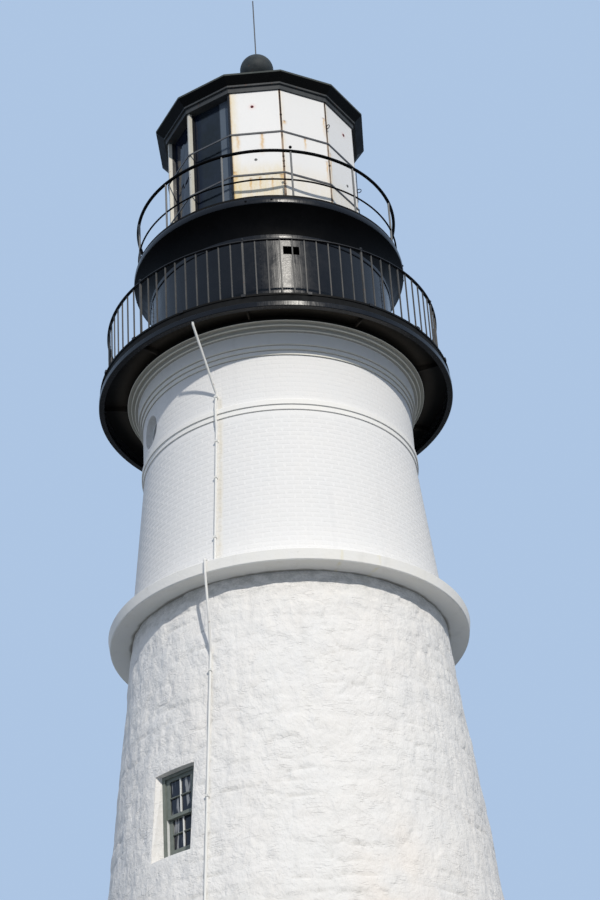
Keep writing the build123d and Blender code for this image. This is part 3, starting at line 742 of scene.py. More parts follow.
def ringShape(radius, thickness, sides=18, round=8):
    # torus standing in the local up-outward plane, touching local z = 0
    u, v = circle(sides)[:, None], thickness * circle(round)[None]
    reach = radius + v[..., 0]
    parts = np.broadcast_arrays(v[..., 1], reach * u[..., 1], reach * u[..., 0] + radius)
    return np.stack(parts, axis=-1).reshape(-1, 3), [ringQuads(sides, round, loop=True)]


def ballShape(radius, sides=12, rings=7):
    # sphere: level rings between two poles
    lift = np.pi * np.arange(1, rings + 1) / (rings + 1) - np.pi / 2
    points, faces = solid(np.cos(lift)[:, None, None] * circle(sides), *np.sin(lift))
    points = np.concatenate([points, [[0, 0, -1], [0, 0, 1]]]) * radius
    index, pole = np.arange(sides), np.full(sides, rings * sides)
    following, last = np.roll(index, -1), (rings - 1) * sides
    foot = np.stack([following, index, pole], axis=-1)
    crown = np.stack([last + index, last + following, pole + 1], axis=-1)
    return points, [faces[0], foot, crown]


# Rubble walls
rubble = {
    "segments": 6, "columns": 100, "rowHeight": 0.0305, "openColumns": 24, "innerColumns": 4, "seed": 11,
    "stoneLength": (0.40, 0.66), "courseHeight": (0.17, 0.32), "jitter": (0.30, 0.24),
    "stoneStep": 0.006, "pillow": 0.0035, "jointDepth": 0.012, "jointWidth": 0.017,
    "jointPatch": (26, 0.55), "jointShare": (0.62, 0.80), "levelShare": (0.42, 0.58),
    "lumps": ((34, 0.62, 0.011), (80, 0.34, 0.0085), (190, 0.18, 0.0055)),   # cells, cell height, swing
    "proudLimit": 0.010, "arris": 0.008, "arrisFade": 0.018, "plasterEdge": (0.015, 0.17), "seamStep": 0.6,
}


def latticeNoise(turn, z, cells, cellHeight, seed):
    # random values on a lattice that closes round the tower, joined by smooth steps
    height = int(tower["stoneTop"] / cellHeight) + 3
    table = np.random.default_rng(seed).uniform(-1.0, 1.0, (height + 1, cells))
    u, v = (turn % 1.0) * cells, np.clip(z / cellHeight + 1.0, 0, height - 1e-6)
    i, j = np.floor(u).astype(int), np.floor(v).astype(int)
    a, b = smoothstep(u - i, 0.0, 1.0), smoothstep(v - j, 0.0, 1.0)
    i, following = i % cells, (i + 1) % cells
    low, high = (table[k, i] * (1 - a) + table[k, following] * a for k in (j, j + 1))
    return low * (1 - b) + high * b


def stoneCourses():
    # uneven courses up the tower: each has its height, number of stones, turn and random stones
    random = np.random.default_rng(rubble["seed"])
    edges = [-0.1]
    while edges[-1] < tower["stoneTop"] + 0.2:
        edges.append(edges[-1] + random.uniform(*rubble["courseHeight"]))
    edges = np.array(edges)
    middle = (edges[1:] + edges[:-1]) / 2
    length = random.uniform(*rubble["stoneLength"], len(middle))
    counts = np.round(2 * np.pi * stoneRadius(middle) / length).astype(int)
    shape = (len(middle), counts.max())
    return {
        "edges": edges, "middle": middle, "height": np.diff(edges), "counts": counts,
        "shift": random.uniform(0, 1, len(middle)),
        "aside": random.uniform(-1, 1, shape) * rubble["jitter"][0],
        "above": random.uniform(-1, 1, shape) * rubble["jitter"][1],
        "step": random.uniform(-1, 1, shape),
    }


courses = stoneCourses()


def rubbleRelief(turn, z):
    # nearest and second nearest stone in rounded-square distance give the pillow and the joint;
    # joints show in patches, the level ones more than the upright ones
    top = len(courses["middle"]) - 1
    course = np.clip(np.searchsorted(courses["edges"], z) - 1, 0, top)
    nearest, second = np.full(turn.shape, 9.0), np.full(turn.shape, 9.0)
    step, level = np.zeros(turn.shape), np.zeros(turn.shape)
    for rise in (-1, 0, 1):
        row = np.clip(course + rise, 0, top)
        count = courses["counts"][row]
        u = (turn % 1.0) * count + courses["shift"][row]
        for aside in (-1, 0, 1):
            cell = np.floor(u).astype(int) + aside
            stone = cell % count
            across = (u - cell - 0.5 - courses["aside"][row, stone]) * 2.0
            up = (z - courses["middle"][row]) / courses["height"][row] * 2.0
            up = up - courses["above"][row, stone] * 2.0
            gap = (np.abs(across) ** 3 + np.abs(up) ** 3) ** (1 / 3)
            closer = gap < nearest
            level = np.where(closer, np.abs(up) / (np.abs(up) + np.abs(across) + 0.01), level)
            second = np.where(closer, nearest, np.minimum(second, gap))
            step = np.where(closer, courses["step"][row, stone], step)
            nearest = np.where(closer, gap, nearest)
    edge = (second - nearest) * courses["height"][course] * 0.5
    patch = latticeNoise(turn, z, *rubble["jointPatch"], rubble["seed"] + 1) * 0.5 + 0.5
    shown = smoothstep(patch, *rubble["jointShare"])
    joint = np.exp(-(edge / rubble["jointWidth"]) ** 2) * (0.08 + 0.92 * shown)
    joint *= 0.25 + 0.75 * smoothstep(level, *rubble["levelShare"])
    relief = rubble["stoneStep"] * step * (1 - joint) - rubble["pillow"] * np.minimum(nearest, 1.2) ** 3
    relief -= rubble["jointDepth"] * joint
    for index, (cells, cellHeight, swing) in enumerate(rubble["lumps"]):
        relief += swing * latticeNoise(turn, z, cells, cellHeight, rubble["seed"] + 2 + index)
    relief = np.minimum(relief, rubble["proudLimit"])
    return np.minimum(relief, tower["baseRadius"] - stoneRadius(z)), joint


def openingOf(middle):
    # the window or door whose azimuth is the segment's own, if there is one
    for opening in (openings["window"], openings["door"]):
        for azimuth in opening["azimuths"]:
            if abs((azimuth - middle + 180) % 360 - 180) < 180 / rubble["segments"]:
                return opening


def rowHeights():
    # rows from the ground to the belt, with one row exactly at each sill and head
    holes = [openings[name][key] for name in ("window", "door") for key in ("low", "high")]
    marks = np.array(sorted([0.0, tower["stoneTop"], *holes]))
    rows = [np.linspace(a, b, max(2, int(round((b - a) / rubble["rowHeight"])) + 1))[:-1]
            for a, b in zip(marks, marks[1:])]
    return np.concatenate(rows + [marks[-1:]]), marks


def columnAngles(halfOpening, radius, inside, outside):
    # angles across a segment, bunched so that two columns follow the opening's plumb edges
    half = 180 / rubble["segments"]
    if halfOpening is None:
        even = np.linspace(-half, half, inside + 2 * outside + 1)
        return np.broadcast_to(even, (len(radius), len(even)))
    edge = np.degrees(np.arcsin(halfOpening / radius))[:, None]
    side = np.linspace(0, 1, outside + 1)[None]
    left, right = -half + (half - edge) * side[:, :-1], edge + (half - edge) * side[:, 1:]
    return np.concatenate([left, -edge + 2 * edge * np.linspace(0, 1, inside + 1)[None], right], axis=1)


def cutHole(index, keep, heights, opening, outside):
    # leave out the faces in an opening, and give back its points
    low, high = (int(np.argmin(np.abs(heights - opening[key]))) for key in ("low", "high"))
    keep[low:high, outside:-outside] = False
    return index[low:high + 1, outside:-outside]


def rubbleWall(number, middle, z, marks):
    # outer skin r = batter + relief, plain inner skin, plane faces that close sides, foot, top and reveals
    opening = openingOf(middle)
    halfOpening = opening["width"] / 2 if opening else None
    outside, inSide = (rubble["columns"] - rubble["openColumns"]) // 2, rubble["innerColumns"]
    local = columnAngles(halfOpening, stoneRadius(z) - rubble["arris"], rubble["openColumns"], outside)

    def skin(localAngle):
        height = np.repeat(z[:, None], localAngle.shape[1], axis=1)
        relief, joint = rubbleRelief((middle + localAngle) / 360.0, height)
        plain = stoneRadius(height)
        if opening:
            across = np.abs(plain * np.sin(np.radians(localAngle))) - halfOpening
            beyond = np.maximum(opening["low"] - height, height - opening["high"])
            gap = np.hypot(np.maximum(across, 0), np.maximum(beyond, 0))
            fade = smoothstep(gap, *rubble["plasterEdge"])
            relief = relief * fade - rubble["arris"] * np.exp(-gap / rubble["arrisFade"])
            joint = joint * fade
        return around(middle + localAngle, plain + relief, height), joint

    outer, joint = skin(local)
    step = rubble["seamStep"]
    wide, _ = skin(np.concatenate([local[:, :1] - step, local, local[:, -1:] + step], axis=1))
    normal = np.cross(wide[:, 2:] - wide[:, :-2], np.gradient(outer, axis=0))
    normal /= np.linalg.norm(normal, axis=-1, keepdims=True)

    innerLocal = columnAngles(halfOpening, boreRadius(marks), inSide, inSide)
    inner = around(middle + innerLocal, boreRadius(marks)[:, None], marks[:, None])
    front = np.arange(local.size).reshape(local.shape)
    back = local.size + np.arange(innerLocal.size).reshape(innerLocal.shape)
    keep, innerKeep = (np.ones((grid.shape[0] - 1, grid.shape[1] - 1), bool) for grid in (front, back))
    sides = []
    if opening:
        hole = cutHole(front, keep, z, opening, outside)
        innerHole = cutHole(back, innerKeep, marks, opening, inSide)
        sides = [strip(hole[::-1, 0], innerHole[::-1, 0]), strip(hole[:, -1], innerHole[:, -1]),
                 strip(hole[0], innerHole[0]), strip(hole[-1, ::-1], innerHole[-1, ::-1])]
    sides += [strip(front[:, 0], back[:, 0]), strip(front[::-1, -1], back[::-1, -1]),
              strip(back[0], front[0]), strip(front[-1], back[-1])]
    skinFaces = gridFaces(*local.shape, 0, keep)
    innerFaces = gridFaces(*innerLocal.shape, local.size, innerKeep)[:, ::-1]
    points = np.concatenate([outer.reshape(-1, 3), inner.reshape(-1, 3)])
    mesh = buildMesh(f"rubble_wall_{number}", points, [skinFaces, innerFaces] + sides)
    setAttribute(mesh, "joint", joint, innerLocal.size)

    # corner normals: the skin's own slopes outside, so that segments meet without a line
    corner = cornerNormals(mesh)
    corner[:skinFaces.size] = normal.reshape(-1, 3)[skinFaces.ravel()]
    mesh.normals_split_custom_set(corner)
    addPiece(f"rubble_wall_{number}", mesh, "rubbleWash", "white_masonry", f"stone_wall_{number}")


rowZ, rowMarks = rowHeights()
for number in range(rubble["segments"]):
    middle = openings["window"]["azimuths"][0] + number * 360 / rubble["segments"]
    rubbleWall(number + 1, middle, rowZ, rowMarks)
print("rubble walls:", len(rowZ), "rows of", rubble["columns"], "faces in", rubble["segments"], "segments")


# Bricks
bricks = {
    "quarters": 4, "perQuarter": 15, "course": 0.0742, "joint": 0.0040, "proud": 0.0012, "ease": 0.0140,
    "swing": 0.0005, "sink": 0.0008, "seed": 23,
    "archRing": 0.108, "archBricks": 22, "archGap": 0.012, "archClear": 0.045, "archJoint": 1.2,
}


def brickSkin(number, middle):
    # each brick is a closed block with eased edges, in three columns so that it follows the wall's curve
    random = np.random.default_rng(bricks["seed"] + number)
    low, high = tower["brickLow"], tower["corniceLow"]
    count = int((high - low) / bricks["course"])
    bed, step = (high - low) / count, 90.0 / bricks["perQuarter"]
    row, column = np.mgrid[0:count, 0:2 * bricks["perQuarter"] + 1]
    left = middle - 45.0 + column * step / 2
    half = (row % 2 == 1) & (column == 0)          # half brick at the quarter's edge
    right = np.where(half, middle - 45.0 + step / 2, np.minimum(left + step, middle + 45.0))
    lay = (row % 2 == column % 2) & (column < 2 * bricks["perQuarter"]) | half
    zLow = low + row * bed
    middleZ, oculus = zLow + bed / 2, openings["oculus"]
    clear = oculus["radius"] + bricks["archRing"] + bricks["archClear"]
    for azimuth in oculus["azimuths"]:
        across = np.radians((left + right) / 2 - azimuth) * brickRadius(middleZ)
        lay &= np.hypot(across, middleZ - oculus["z"]) > clear
    lay &= (zLow >= tower["stringTop"]) | (zLow + bed <= tower["stringLow"])
    left, right, zLow = left[lay], right[lay], zLow[lay]
    radius = brickRadius(zLow + bed / 2)
    jointAngle, easeAngle = (np.degrees(size / radius) for size in (bricks["joint"] / 2, bricks["ease"]))
    left, right = left + jointAngle, right - jointAngle
    zLow, zHigh = zLow + bricks["joint"] / 2, zLow + bed - bricks["joint"] / 2

    def ring(angleInset, zInset, depth):
        columns = np.stack([left + angleInset, (left + right) / 2, right - angleInset], axis=1)
        rows = [around(columns, (brickRadius(z) + depth)[:, None], (z + way * zInset)[:, None])
                for z, way in ((zLow, 1), (zHigh, -1))]
        return np.concatenate(rows, axis=1)

    proud = bricks["proud"] + bricks["swing"] * random.uniform(-1, 1, len(left))
    points = np.concatenate([ring(0.0, 0.0, -bricks["sink"]), ring(easeAngle, bricks["ease"], proud)], axis=1)
    block = np.array([
        [6, 7, 10, 9], [7, 8, 11, 10], [0, 1, 7, 6], [1, 2, 8, 7], [9, 10, 4, 3],
        [10, 11, 5, 4], [0, 6, 9, 3], [2, 5, 11, 8], [1, 0, 3, 4], [2, 1, 4, 5]])
    faces = (block[None] + (np.arange(len(left)) * 12)[:, None, None]).reshape(-1, 4)
    mesh = buildMesh(f"brick_courses_{number}", points.reshape(-1, 3), [faces])
    # corner normals: the round wall's own on every front, each plane's own on the sides
    corner = cornerNormals(mesh).reshape(len(left), len(block), 4, 3)
    outward = points * (1.0, 1.0, 0.0)
    outward /= np.linalg.norm(outward, axis=-1, keepdims=True)
    corner[:, :2] = outward[:, block[:2]]
    mesh.normals_split_custom_set(corner.reshape(-1, 3))
    addPiece(f"brick_courses_{number}", mesh, "brickWash", "white_masonry")


def archRing():
    # a ring of headers round each round window: wedge blocks bent onto the wall
    oculus, count = openings["oculus"], bricks["archBricks"]
    inner, outer = oculus["radius"] + bricks["archGap"], oculus["radius"] + bricks["archRing"]
    start, step = evenly(count), 360.0 / count
    gap = np.degrees(bricks["joint"] / 2 / outer) * bricks["archJoint"]
    angles = np.radians(np.stack([start + gap, start + step - gap], axis=1))
    blocks = []
    for azimuth in oculus["azimuths"]:
        corners = []
        for depth, inset in ((-bricks["sink"], 0.0), (bricks["proud"], bricks["ease"])):
            for distance in (inner + inset, outer - inset):
                z = oculus["z"] + distance * np.sin(angles)
                across = distance * np.cos(angles) / brickRadius(z)
                corners.append(around(azimuth + np.degrees(np.arcsin(across)), brickRadius(z) + depth, z))
        blocks.append(np.concatenate(corners, axis=1))
    block = np.array([[4, 6, 7, 5], [0, 2, 6, 4], [1, 5, 7, 3], [0, 4, 5, 1], [2, 3, 7, 6], [0, 1, 3, 2]])
    faces = (block[None] + (np.arange(len(blocks) * count) * 8)[:, None, None]).reshape(-1, 4)
    mesh = buildMesh("oculus_arches", np.concatenate(blocks).reshape(-1, 3), [faces], smooth=False)
    addPiece("oculus_arches", mesh, "brickWash", "white_masonry")


for number in range(bricks["quarters"]):
    brickSkin(number + 1, openings["oculus"]["azimuths"][0] + 90.0 * number)
archRing()
print("bricks laid in", int((tower["corniceLow"] - tower["brickLow"]) / bricks["course"]), "courses")


# Lantern plates
plates = {
    "facets": (-2.5, 27.5, 57.5), "thickness": 0.008, "margin": 0.012, "across": 52, "up": 150,
    "buckle": 0.0012, "apothem": tower["cornerRadius"] * math.cos(math.pi / tower["facets"]),
    "rustRuns": {                    # facet: (across from its middle, top, length, width), metres
        -2.5: ((-0.278, 22.075, 0.34, 0.026), (0.084, 22.080, 0.46, 0.028), (-0.345, 21.40, 0.25, 0.030),
               (0.345, 21.28, 0.16, 0.022), (-0.12, 21.25, 0.40, 0.018), (0.02, 21.26, 0.30, 0.014),
               (0.20, 21.24, 0.36, 0.016)),
        27.5: ((-0.002, 22.075, 0.30, 0.018), (-0.335, 22.33, 0.10, 0.030), (0.345, 22.60, 0.45, 0.016),
               (0.345, 21.75, 0.55, 0.014)),
        57.5: ((-0.34, 21.95, 0.60, 0.014),),
    },
    "bolts": {-2.5: (-0.040, 22.628), 57.5: (0.102, 22.602)},
    "dots": {-2.5: (-0.026, 21.594), 57.5: (0.096, 21.598)},
}


def facetPoints(facet, across, outward, z):
    # a point on a lantern facet: across along it, outward from its plane
    angle, distance = math.radians(facet), plates["apothem"] + outward
    x = distance * math.sin(angle) + across * math.cos(angle)
    y = -distance * math.cos(angle) + across * math.sin(angle)
    return np.stack(np.broadcast_arrays(x, y, z), axis=-1)


def plateStains(facet, across, z, half):
    # rust: narrow runs that fade downwards; cream: dirt along the left edge and the lowest third
    rust, cream, halo, brown = (np.zeros(across.shape) for _ in range(4))
    for x, top, length, width in plates["rustRuns"][facet]:
        drop = top - z
        wander = 0.004 * np.sin(z * 41.0) + 0.003 * np.sin(z * 97.0)
        spread = width * (0.7 + 0.5 * np.clip(drop / length, 0, 1))
        body = np.exp(-((across - x - wander) / spread) ** 2)
        rust += 0.8 * body * smoothstep(drop, 0.0, 0.01) * (1 - smoothstep(drop, 0.25 * length, length))
        brown += np.exp(-((across - x) / 0.030) ** 2 - ((drop - 0.008) / 0.012) ** 2)
    if facet in plates["bolts"]:
        x, height = plates["bolts"][facet]
        halo += np.exp(-(np.hypot(across - x, z - height) / 0.042) ** 2)
    height = (z - tower["glassLow"]) / (tower["glassTop"] - tower["glassLow"])
    low = 1 - smoothstep(height, 0.30, 0.46)
    edge = 1 - smoothstep(half - np.abs(across), 0.0, 0.016)
    left = across + half
    if facet == plates["facets"][0]:
        cream += 0.62 * (1 - smoothstep(left, 0.02, 0.16)) + 0.75 * low
        rust += 0.30 * (1 - smoothstep(left, 0.0, 0.05)) + 0.5 * edge * (across > 0) * low
    else:
        cream += 0.28 * low + 0.25 * (1 - smoothstep(left, 0.0, 0.08))
    return {"rust": rust + 0.35 * edge, "cream": cream, "halo": halo, "brown": brown}


def plateSheet(number, facet, *replaced):
    # a closed sheet on a plated facet: front buckled by slow waves, plane back and edges
    name, low, high = f"lantern_plate_{number}", tower["glassLow"], tower["glassTop"]
    half = tower["cornerRadius"] * math.sin(math.pi / tower["facets"]) - plates["margin"]
    z, across = np.meshgrid(np.linspace(low, high, plates["up"] + 1),
                            np.linspace(-half, half, plates["across"] + 1), indexing="ij")
    edge = np.minimum(half - np.abs(across), np.minimum(z - low, high - z))
    wave = np.sin(across * 7.0 + facet) * np.sin(z * 4.3 + 0.3 * facet) - 1.0
    outward = plates["thickness"] + plates["buckle"] * wave * smoothstep(edge, 0.0, 0.06)
    outward -= 0.0015 * (1 - smoothstep(edge, 0.0, 0.004))
    front = facetPoints(facet, across, outward, z)
    ends = half * np.array([-1, 1, 1, -1])
    corners = facetPoints(facet, ends, 0.0, np.array([low, low, high, high]))
    index = np.arange(across.size).reshape(across.shape)
    back = across.size + np.arange(4)
    faces = [gridFaces(*across.shape), back[::-1][None],
             strip(index[0][::-1], back[[1, 0]]), strip(index[-1], back[[3, 2]]),
             strip(index[:, 0], back[[0, 3]]), strip(index[::-1, -1], back[[2, 1]])]
    mesh = buildMesh(name, np.concatenate([front.reshape(-1, 3), corners]), faces)
    for label, values in plateStains(facet, across, z, half).items():
        setAttribute(mesh, label, values, len(corners))
    mesh.polygons.foreach_set("use_smooth", np.arange(len(mesh.polygons)) < len(faces[0]))
    addPiece(name, mesh, "platePaint", "white_panel", *replaced)


plateSheet(1, plates["facets"][0], "lantern_panels")
plateSheet(2, plates["facets"][1])
plateSheet(3, plates["facets"][2])
print("lantern plates:", len(plates["facets"]))


# Window bars
sash = {
    "barWidth": 0.015, "barDepth": 0.022, "barEase": 0.005, "lap": 0.004, "side": 0.088, "head": 0.045,
    "sill": 0.105, "stile": 0.060, "rail": 0.044, "foot": 0.090, "thickness": 0.038, "gap": 0.001,
    "reveal": 0.100, "frameDepth": 0.120, "trackWidth": 0.003, "splay": 0.042,
}


def windowBars():
    # an upright and a level bar in each sash, and the white track that shows beside each lower sash
    opening = openings["window"]
    front = stoneRadius(opening["high"]) - sash["reveal"]
    first = front - (sash["frameDepth"] - 2 * sash["thickness"] - sash["gap"]) / 2
    second = first - sash["thickness"] - sash["gap"]
    low = opening["low"] + sash["sill"]
    clear = opening["high"] - sash["head"] - low
    height = (clear + sash["rail"]) / 2
    half = opening["width"] / 2 - sash["side"]
    uprights, levels = [], []
    for foot, rail, face in ((low + clear - height, sash["rail"], first), (low, sash["foot"], second)):
        glassHeight = height - rail - sash["rail"]
        upright = bar(sash["barWidth"], glassHeight + sash["lap"], sash["barDepth"], sash["barEase"])
        levelWidth = 2 * (half - sash["stile"]) + sash["lap"]
        level = bar(levelWidth, sash["barWidth"], sash["barDepth"] * 0.9, sash["barEase"])
        place = opening["azimuths"], face - sash["thickness"] / 2 + 0.0045, foot + rail + glassHeight / 2
        uprights.append(at(upright, *place))
        levels.append(at(level, *place))
    joined("window_bars", uprights, "whitePaint", "white_wood")
    joined("window_cross_bars", levels, "greenPaint", "green_wood")
    track = bar(sash["trackWidth"], clear - height, sash["thickness"] - 0.002)
    middle, aside = low + (clear - height) / 2, half - sash["trackWidth"] / 2
    tracks = [at(track, opening["azimuths"], second + 0.005, middle, way * aside) for way in (-1, 1)]
    joined("window_tracks", tracks, "whitePaint", "white_wood")


def windowSplays():
    # plaster wedges at both sides of each window, from the wall's arris back to the frame's face
    opening, lap = openings["window"], 0.003
    low, high, half = opening["low"], opening["high"], opening["width"] / 2
    front = stoneRadius(high) - sash["reveal"] - lap
    parts = []
    for way in (-1, 1):
        outlines = []
        for z in (low, high):
            face = math.sqrt(stoneRadius(z) ** 2 - half ** 2) - rubble["arris"] - 0.004
            corners = ((half + lap, front), (half + lap, face), (half - sash["splay"], front))
            outlines.append([(way * x, -distance) for x, distance in corners[::-way]])
        parts.append(repeated(solid(outlines, low, high), turns(opening["azimuths"])))
    joined("window_splays", parts, "rubbleWash", "white_masonry")


windowBars()
windowSplays()
print("window bars, tracks and splays")


# Bands, straps and bolts of drum and fascia
bands = {                         # foot, outline as (radius, rise)
    "fascia_band": (tower["fasciaLow"], (
        (2.0325, 0.004), (2.0355, 0.014), (2.0370, 0.030), (2.0372, 0.052), (2.0358, 0.074), (2.0325, 0.092),
        (2.0275, 0.102), (2.0160, 0.102), (2.0300, 0.004))),
    "drum_head_bead": (tower["drumTop"], (
        (1.7900, -0.080), (1.8010, -0.078), (1.8050, -0.068), (1.8054, -0.040), (1.8050, -0.012),
        (1.8010, -0.002), (1.7900, 0.000), (1.7850, 0.000), (1.7850, -0.080))),
}
straps = {
    "first": -4.7, "count": 5, "width": 0.120, "thickness": 0.006, "columns": 13,
    "foot": 0.004, "head": 0.060, "rivetFoot": 0.040, "rivetHead": 0.085,
    "rivetRows": 21, "rivetInset": 0.016, "rivet": (0.008, 0.005, 8),
}
fascia = {"joints": 4, "bolts": (-7.6, 2.9), "bolt": (0.019, 0.012), "radius": 2.0368, "rise": 0.052}


def turnedBand(name, foot, outline, steps=180):
    # a closed outline turned about the axis: round along the band, plane across each edge
    outline = np.array(outline) + (0.0, foot)
    angles = evenly(steps)
    points = np.stack([around(angles, radius, z) for radius, z in outline], axis=1).reshape(-1, 3)
    quads = np.roll(ringQuads(steps, len(outline), loop=True)[:, ::-1], 1, axis=1)
    mesh = buildMesh(name, points, [quads])
    run = np.roll(outline, -1, axis=0) - outline
    run /= np.linalg.norm(run, axis=1, keepdims=True)
    following = np.roll(angles, -1)
    corner = np.stack([angles, following, following, angles], axis=-1)[:, None, :]
    normals = around(corner, run[None, :, None, 1], -run[None, :, None, 0])
    mesh.normals_split_custom_set(normals.reshape(-1, 3))
    addPiece(name, mesh, "glossIron", "black_iron")


def bentPlate(azimuths, outer, inner, low, high):
    # an upright plate that follows the drum's curve
    edges = around(azimuths, outer, 0.0), around(azimuths[::-1], inner, 0.0)
    outline = np.concatenate(edges)[:, :2]
    return solid([outline, outline], low, high)


def drumStraps():
    # cover straps over the drum's upright seams, with a row of rivets along each edge
    radius, thick, width, low, high = (
        tower["drumRadius"], straps["thickness"], straps["width"], tower["deckTop"], tower["drumTop"])
    half = math.degrees(width / 2 / radius)
    rise = np.full(straps["columns"], thick)
    rise[[0, -1]] = thick * 0.3
    azimuths = straps["first"] + evenly(straps["count"])
    strap = bentPlate(np.linspace(-half, half, straps["columns"]), radius + rise, radius - sunk,
                      low + straps["foot"], high - straps["head"])
    edge = half - math.degrees(straps["rivetInset"] / radius)
    heights = np.linspace(low + straps["rivetFoot"], high - straps["rivetHead"], straps["rivetRows"])
    where, z = np.meshgrid(np.concatenate([azimuths - edge, azimuths + edge]), heights)
    rivets = at(dome(*straps["rivet"]), where.ravel(), radius + thick, z.ravel())
    joined("drum_straps", [repeated(strap, turns(azimuths)), rivets], "glossIron", "black_iron")


def fasciaBolts():
    # a bolt on either side of each joint of the fascia
    azimuths = np.add.outer(evenly(fascia["joints"]), fascia["bolts"]).ravel()
    bolts = at(dome(*fascia["bolt"]), azimuths, fascia["radius"], tower["fasciaLow"] + fascia["rise"])
    joined("fascia_bolts", [bolts], "coveIron", "black_iron", smooth=True)


for name, (foot, outline) in bands.items():
    turnedBand(name, foot, outline)
drumStraps()
fasciaBolts()


# Small things on the lantern and its gallery
fittings = {
    "fillet": ((-0.020, -1.477), (-0.016, -1.4900), (-0.006, -1.4955), (0.006, -1.4955), (0.016, -1.4900),
               (0.020, -1.477)),                                                          # plan at azimuth 0
    "knobs": {12.5: (22.43, 21.62, 21.53, 21.43, 21.10, 20.73, 20.60), 42.5: (21.68, 21.02)},
    "knob": (0.019, 0.016, 8), "knobRadius": 1.4950,
    "heads": (("bolts", 0.026, "boltIron"), ("dots", 0.025, "postIron")),
    "hooks": ((42.5, 22.42), (72.5, 21.68)), "hook": (0.034, 0.006), "hookRadius": 1.490,
    "postKnob": (12.5, 1.960, 21.400), "postKnobSize": 0.024,                             # azimuth, radius, z
}


def plateFittings():
    # rusty fillets over the joints between the plates, their knobs, and the bolts through the plates
    fillet = solid([fittings["fillet"]] * 2, tower["glassLow"], tower["glassTop"])
    parts = [repeated(fillet, turns(list(fittings["knobs"])))]
    for azimuth, heights in fittings["knobs"].items():
        parts.append(at(dome(*fittings["knob"]), azimuth, fittings["knobRadius"], heights))
    joined("plate_fillets", parts, "rustIron", "black_iron")
    front = plates["apothem"] + plates["thickness"] - 0.001
    for group, size, paint in fittings["heads"]:
        across, heights = np.transpose(list(plates[group].values()))
        place = list(plates[group]), front, heights, across
        joined("plate_" + group, [at(dome(size, 0.012), *place)], paint, "black_iron")
        joined(f"plate_{group}_cores", [at(dome(size * 0.45, 0.016, 8), *place)], "coveIron", "black_iron")


def hooksAndKnob():
    # ring hooks on two corner bars and the ball on one upper post
    azimuths, heights = zip(*fittings["hooks"])
    hooks = at(ringShape(*fittings["hook"]), azimuths, fittings["hookRadius"], heights)
    joined("lantern_hooks", [hooks], "coveIron", "black_iron", smooth=True)
    ball = at(ballShape(fittings["postKnobSize"]), *fittings["postKnob"])
    joined("post_knob", [ball], "coveIron", "black_iron", smooth=True)


plateFittings()
hooksAndKnob()


# Hatch and door, both out of the photo's sight; shapes list what dome, bar and ringShape take
hatch = {
    "hinges": (18.66, 19.50), "edge": 189.9, "reach": (-7.5, 2.5), "columns": 9, "half": 0.028,
    "knuckle": (0.012, 0.013, 10), "knuckleHalf": 0.045,          # lift, radius, sides
    "rivets": (-6.4, -4.2, -2.0, 1.6),                            # degrees from the hatch's edge
    "rivet": (0.009, 0.006, 8), "handle": (172.6, 19.10), "plate": (0.060, 0.200, 0.005, 0.002),
    "ring": (0.048, 0.007), "proud": 0.007, "sunk": 0.003,
}
leaf = {
    "depth": 0.290, "member": 0.070, "boards": 7, "boardGap": 0.003, "endGap": 0.012, "boardDepth": 0.014,
    "ease": 0.005, "straps": (0.50, 1.22, 1.98), "strap": (0.046, 0.006, 0.002), "strapShort": 0.13,
    "strapAside": -0.055, "rivets": (-0.34, 0.22, 5), "rivet": (0.010, 0.006, 8), "rivetLift": 0.0195,
    "handleInset": 0.075, "plate": (0.070, 0.180, 0.005, 0.002), "plateZ": 1.04,
    "ring": (0.042, 0.006), "ringZ": 1.00, "ringLift": 0.0260,
}


def hatchFittings():
    # two strap hinges with their knuckles and a bowed handle on the gallery hatch
    radius, edge = tower["drumRadius"], hatch["edge"]
    proud = radius + hatch["proud"]
    lift, size, sides = hatch["knuckle"]
    knuckle = around(edge, radius + lift, 0.0)[:2] + size * circle(sides)
    azimuths = np.linspace(edge + hatch["reach"][0], edge + hatch["reach"][1], hatch["columns"])
    parts = []
    for z in hatch["hinges"]:
        parts += [bentPlate(azimuths, proud, radius - hatch["sunk"], z - hatch["half"], z + hatch["half"]),
                  solid([knuckle] * 2, z - hatch["knuckleHalf"], z + hatch["knuckleHalf"]),
                  at(dome(*hatch["rivet"]), edge + np.array(hatch["rivets"]), proud, z)]
    azimuth, z = hatch["handle"]
    parts += [at(bar(*hatch["plate"]), azimuth, radius - 0.001, z),
              at(ringShape(*hatch["ring"]), azimuth, radius - 0.046, z)]
    joined("hatch_fittings", parts, "coveIron", "black_iron")


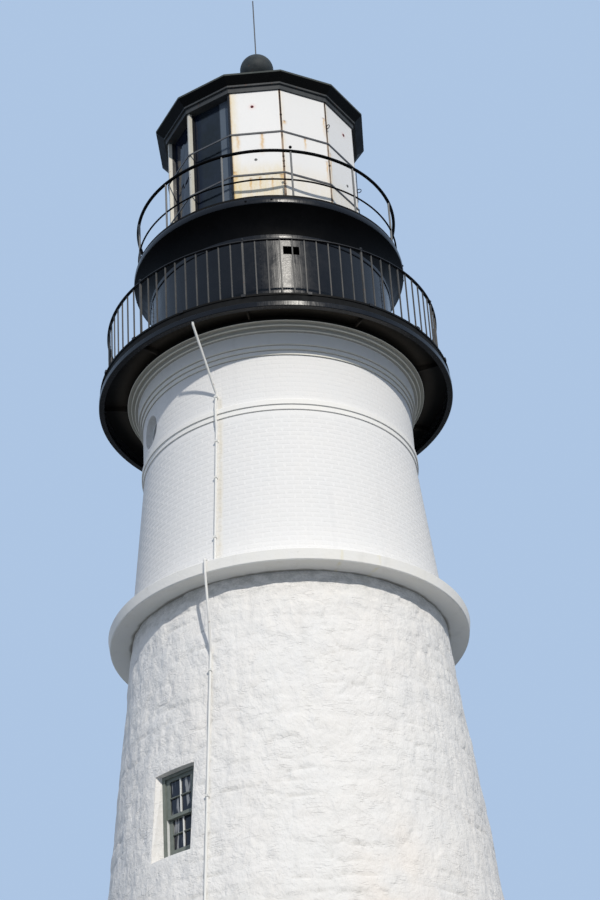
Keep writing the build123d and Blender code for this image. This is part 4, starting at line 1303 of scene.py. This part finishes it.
def doorFittings():
    # upright boards with eased edges on the leaf, three strap hinges with rivets and a ring handle
    opening, azimuth = openings["door"], openings["door"]["azimuths"][0]
    front = stoneRadius(opening["high"]) - leaf["depth"]
    face = front + leaf["boardDepth"]
    width = opening["width"] - 2 * leaf["member"]
    height = opening["high"] - opening["low"] - leaf["member"]
    pitch = width / leaf["boards"]
    board = bar(pitch - leaf["boardGap"], height - leaf["endGap"], leaf["boardDepth"], leaf["ease"])
    along = (np.arange(leaf["boards"]) - (leaf["boards"] - 1) / 2) * pitch
    boards = at(board, azimuth, front + 0.0005, opening["low"] + height / 2, along)
    joined("door_boards", [boards], "greenPaint", "green_wood")
    handle, parts = width / 2 - leaf["handleInset"], []
    for z in leaf["straps"]:
        strap = bar(width - leaf["strapShort"], *leaf["strap"])
        rivets = azimuth, front + leaf["rivetLift"], z, np.linspace(*leaf["rivets"])
        parts += [at(strap, azimuth, face, z, leaf["strapAside"]), at(dome(*leaf["rivet"]), *rivets)]
    parts.append(at(bar(*leaf["plate"]), azimuth, face, leaf["plateZ"], handle))
    # the ring hangs flat against the leaf: moved down by its radius, then turned a quarter
    hang = np.array([[0, 0, 1, -leaf["ring"][0]], [0, 1, 0, 0], [-1, 0, 0, 0], [0, 0, 0, 1]])
    ring = outwards(azimuth, front + leaf["ringLift"], leaf["ringZ"], handle) @ hang
    parts.append(repeated(ringShape(*leaf["ring"]), ring))
    joined("door_fittings", parts, "coveIron", "black_iron")


hatchFittings()
doorFittings()
print("ironwork details laid on drum, fascia, plates, hatch and door")


# Floor and backdrop
room = {
    "skyColour": (0.74, 0.90, 1.18), "skyPower": 0.35, "backColour": (0.42, 0.56, 0.77),
    "floorColour": (0.60, 0.64, 0.69), "floorBounce": (0.20, 0.21, 0.21), "floorReach": 70.0,
    "floorSides": 96, "floorZ": -0.002,
}


def addFloor():
    # a broad round floor that stops just under the wall, pale to the eye, plainer in its bounce
    points = around(evenly(room["floorSides"]), room["floorReach"], room["floorZ"])
    floor = linked("floor", buildMesh("floor", points, [np.arange(len(points))[None]], smooth=False))
    floor.data.materials.append(newPaint("floorPaint", 0.9, 0.5))
    cover(over(room["floorBounce"], room["floorColour"], put("LightPath").outputs["Is Camera Ray"]))


def addBackdrop():
    # cool dim sky for light, pale plain colour for the eye, mirrors and glass
    world = bpy.data.worlds.new("backdrop")
    world.use_nodes = True
    bpy.context.scene.world = world
    world.node_tree.nodes.clear()
    pen["tree"] = world.node_tree
    path = put("LightPath").outputs
    mirrored = calc("MAXIMUM", path["Is Glossy Ray"], path["Is Transmission Ray"])
    seen = calc("MAXIMUM", path["Is Camera Ray"], mirrored)
    sky = put("Background", {"Color": room["skyColour"], "Strength": room["skyPower"]}).outputs[0]
    back = put("Background", {"Color": room["backColour"], "Strength": 1.0}).outputs[0]
    put("OutputWorld", {"Surface": put("MixShader", {0: seen, 1: sky, 2: back}).outputs[0]})


addCamera()
for name, setting in lamps.items():
    addLamp(name, setting)
addFloor()
addBackdrop()
bpy.context.scene.view_settings.view_transform = "Standard"
print("camera, lamps and backdrop set")
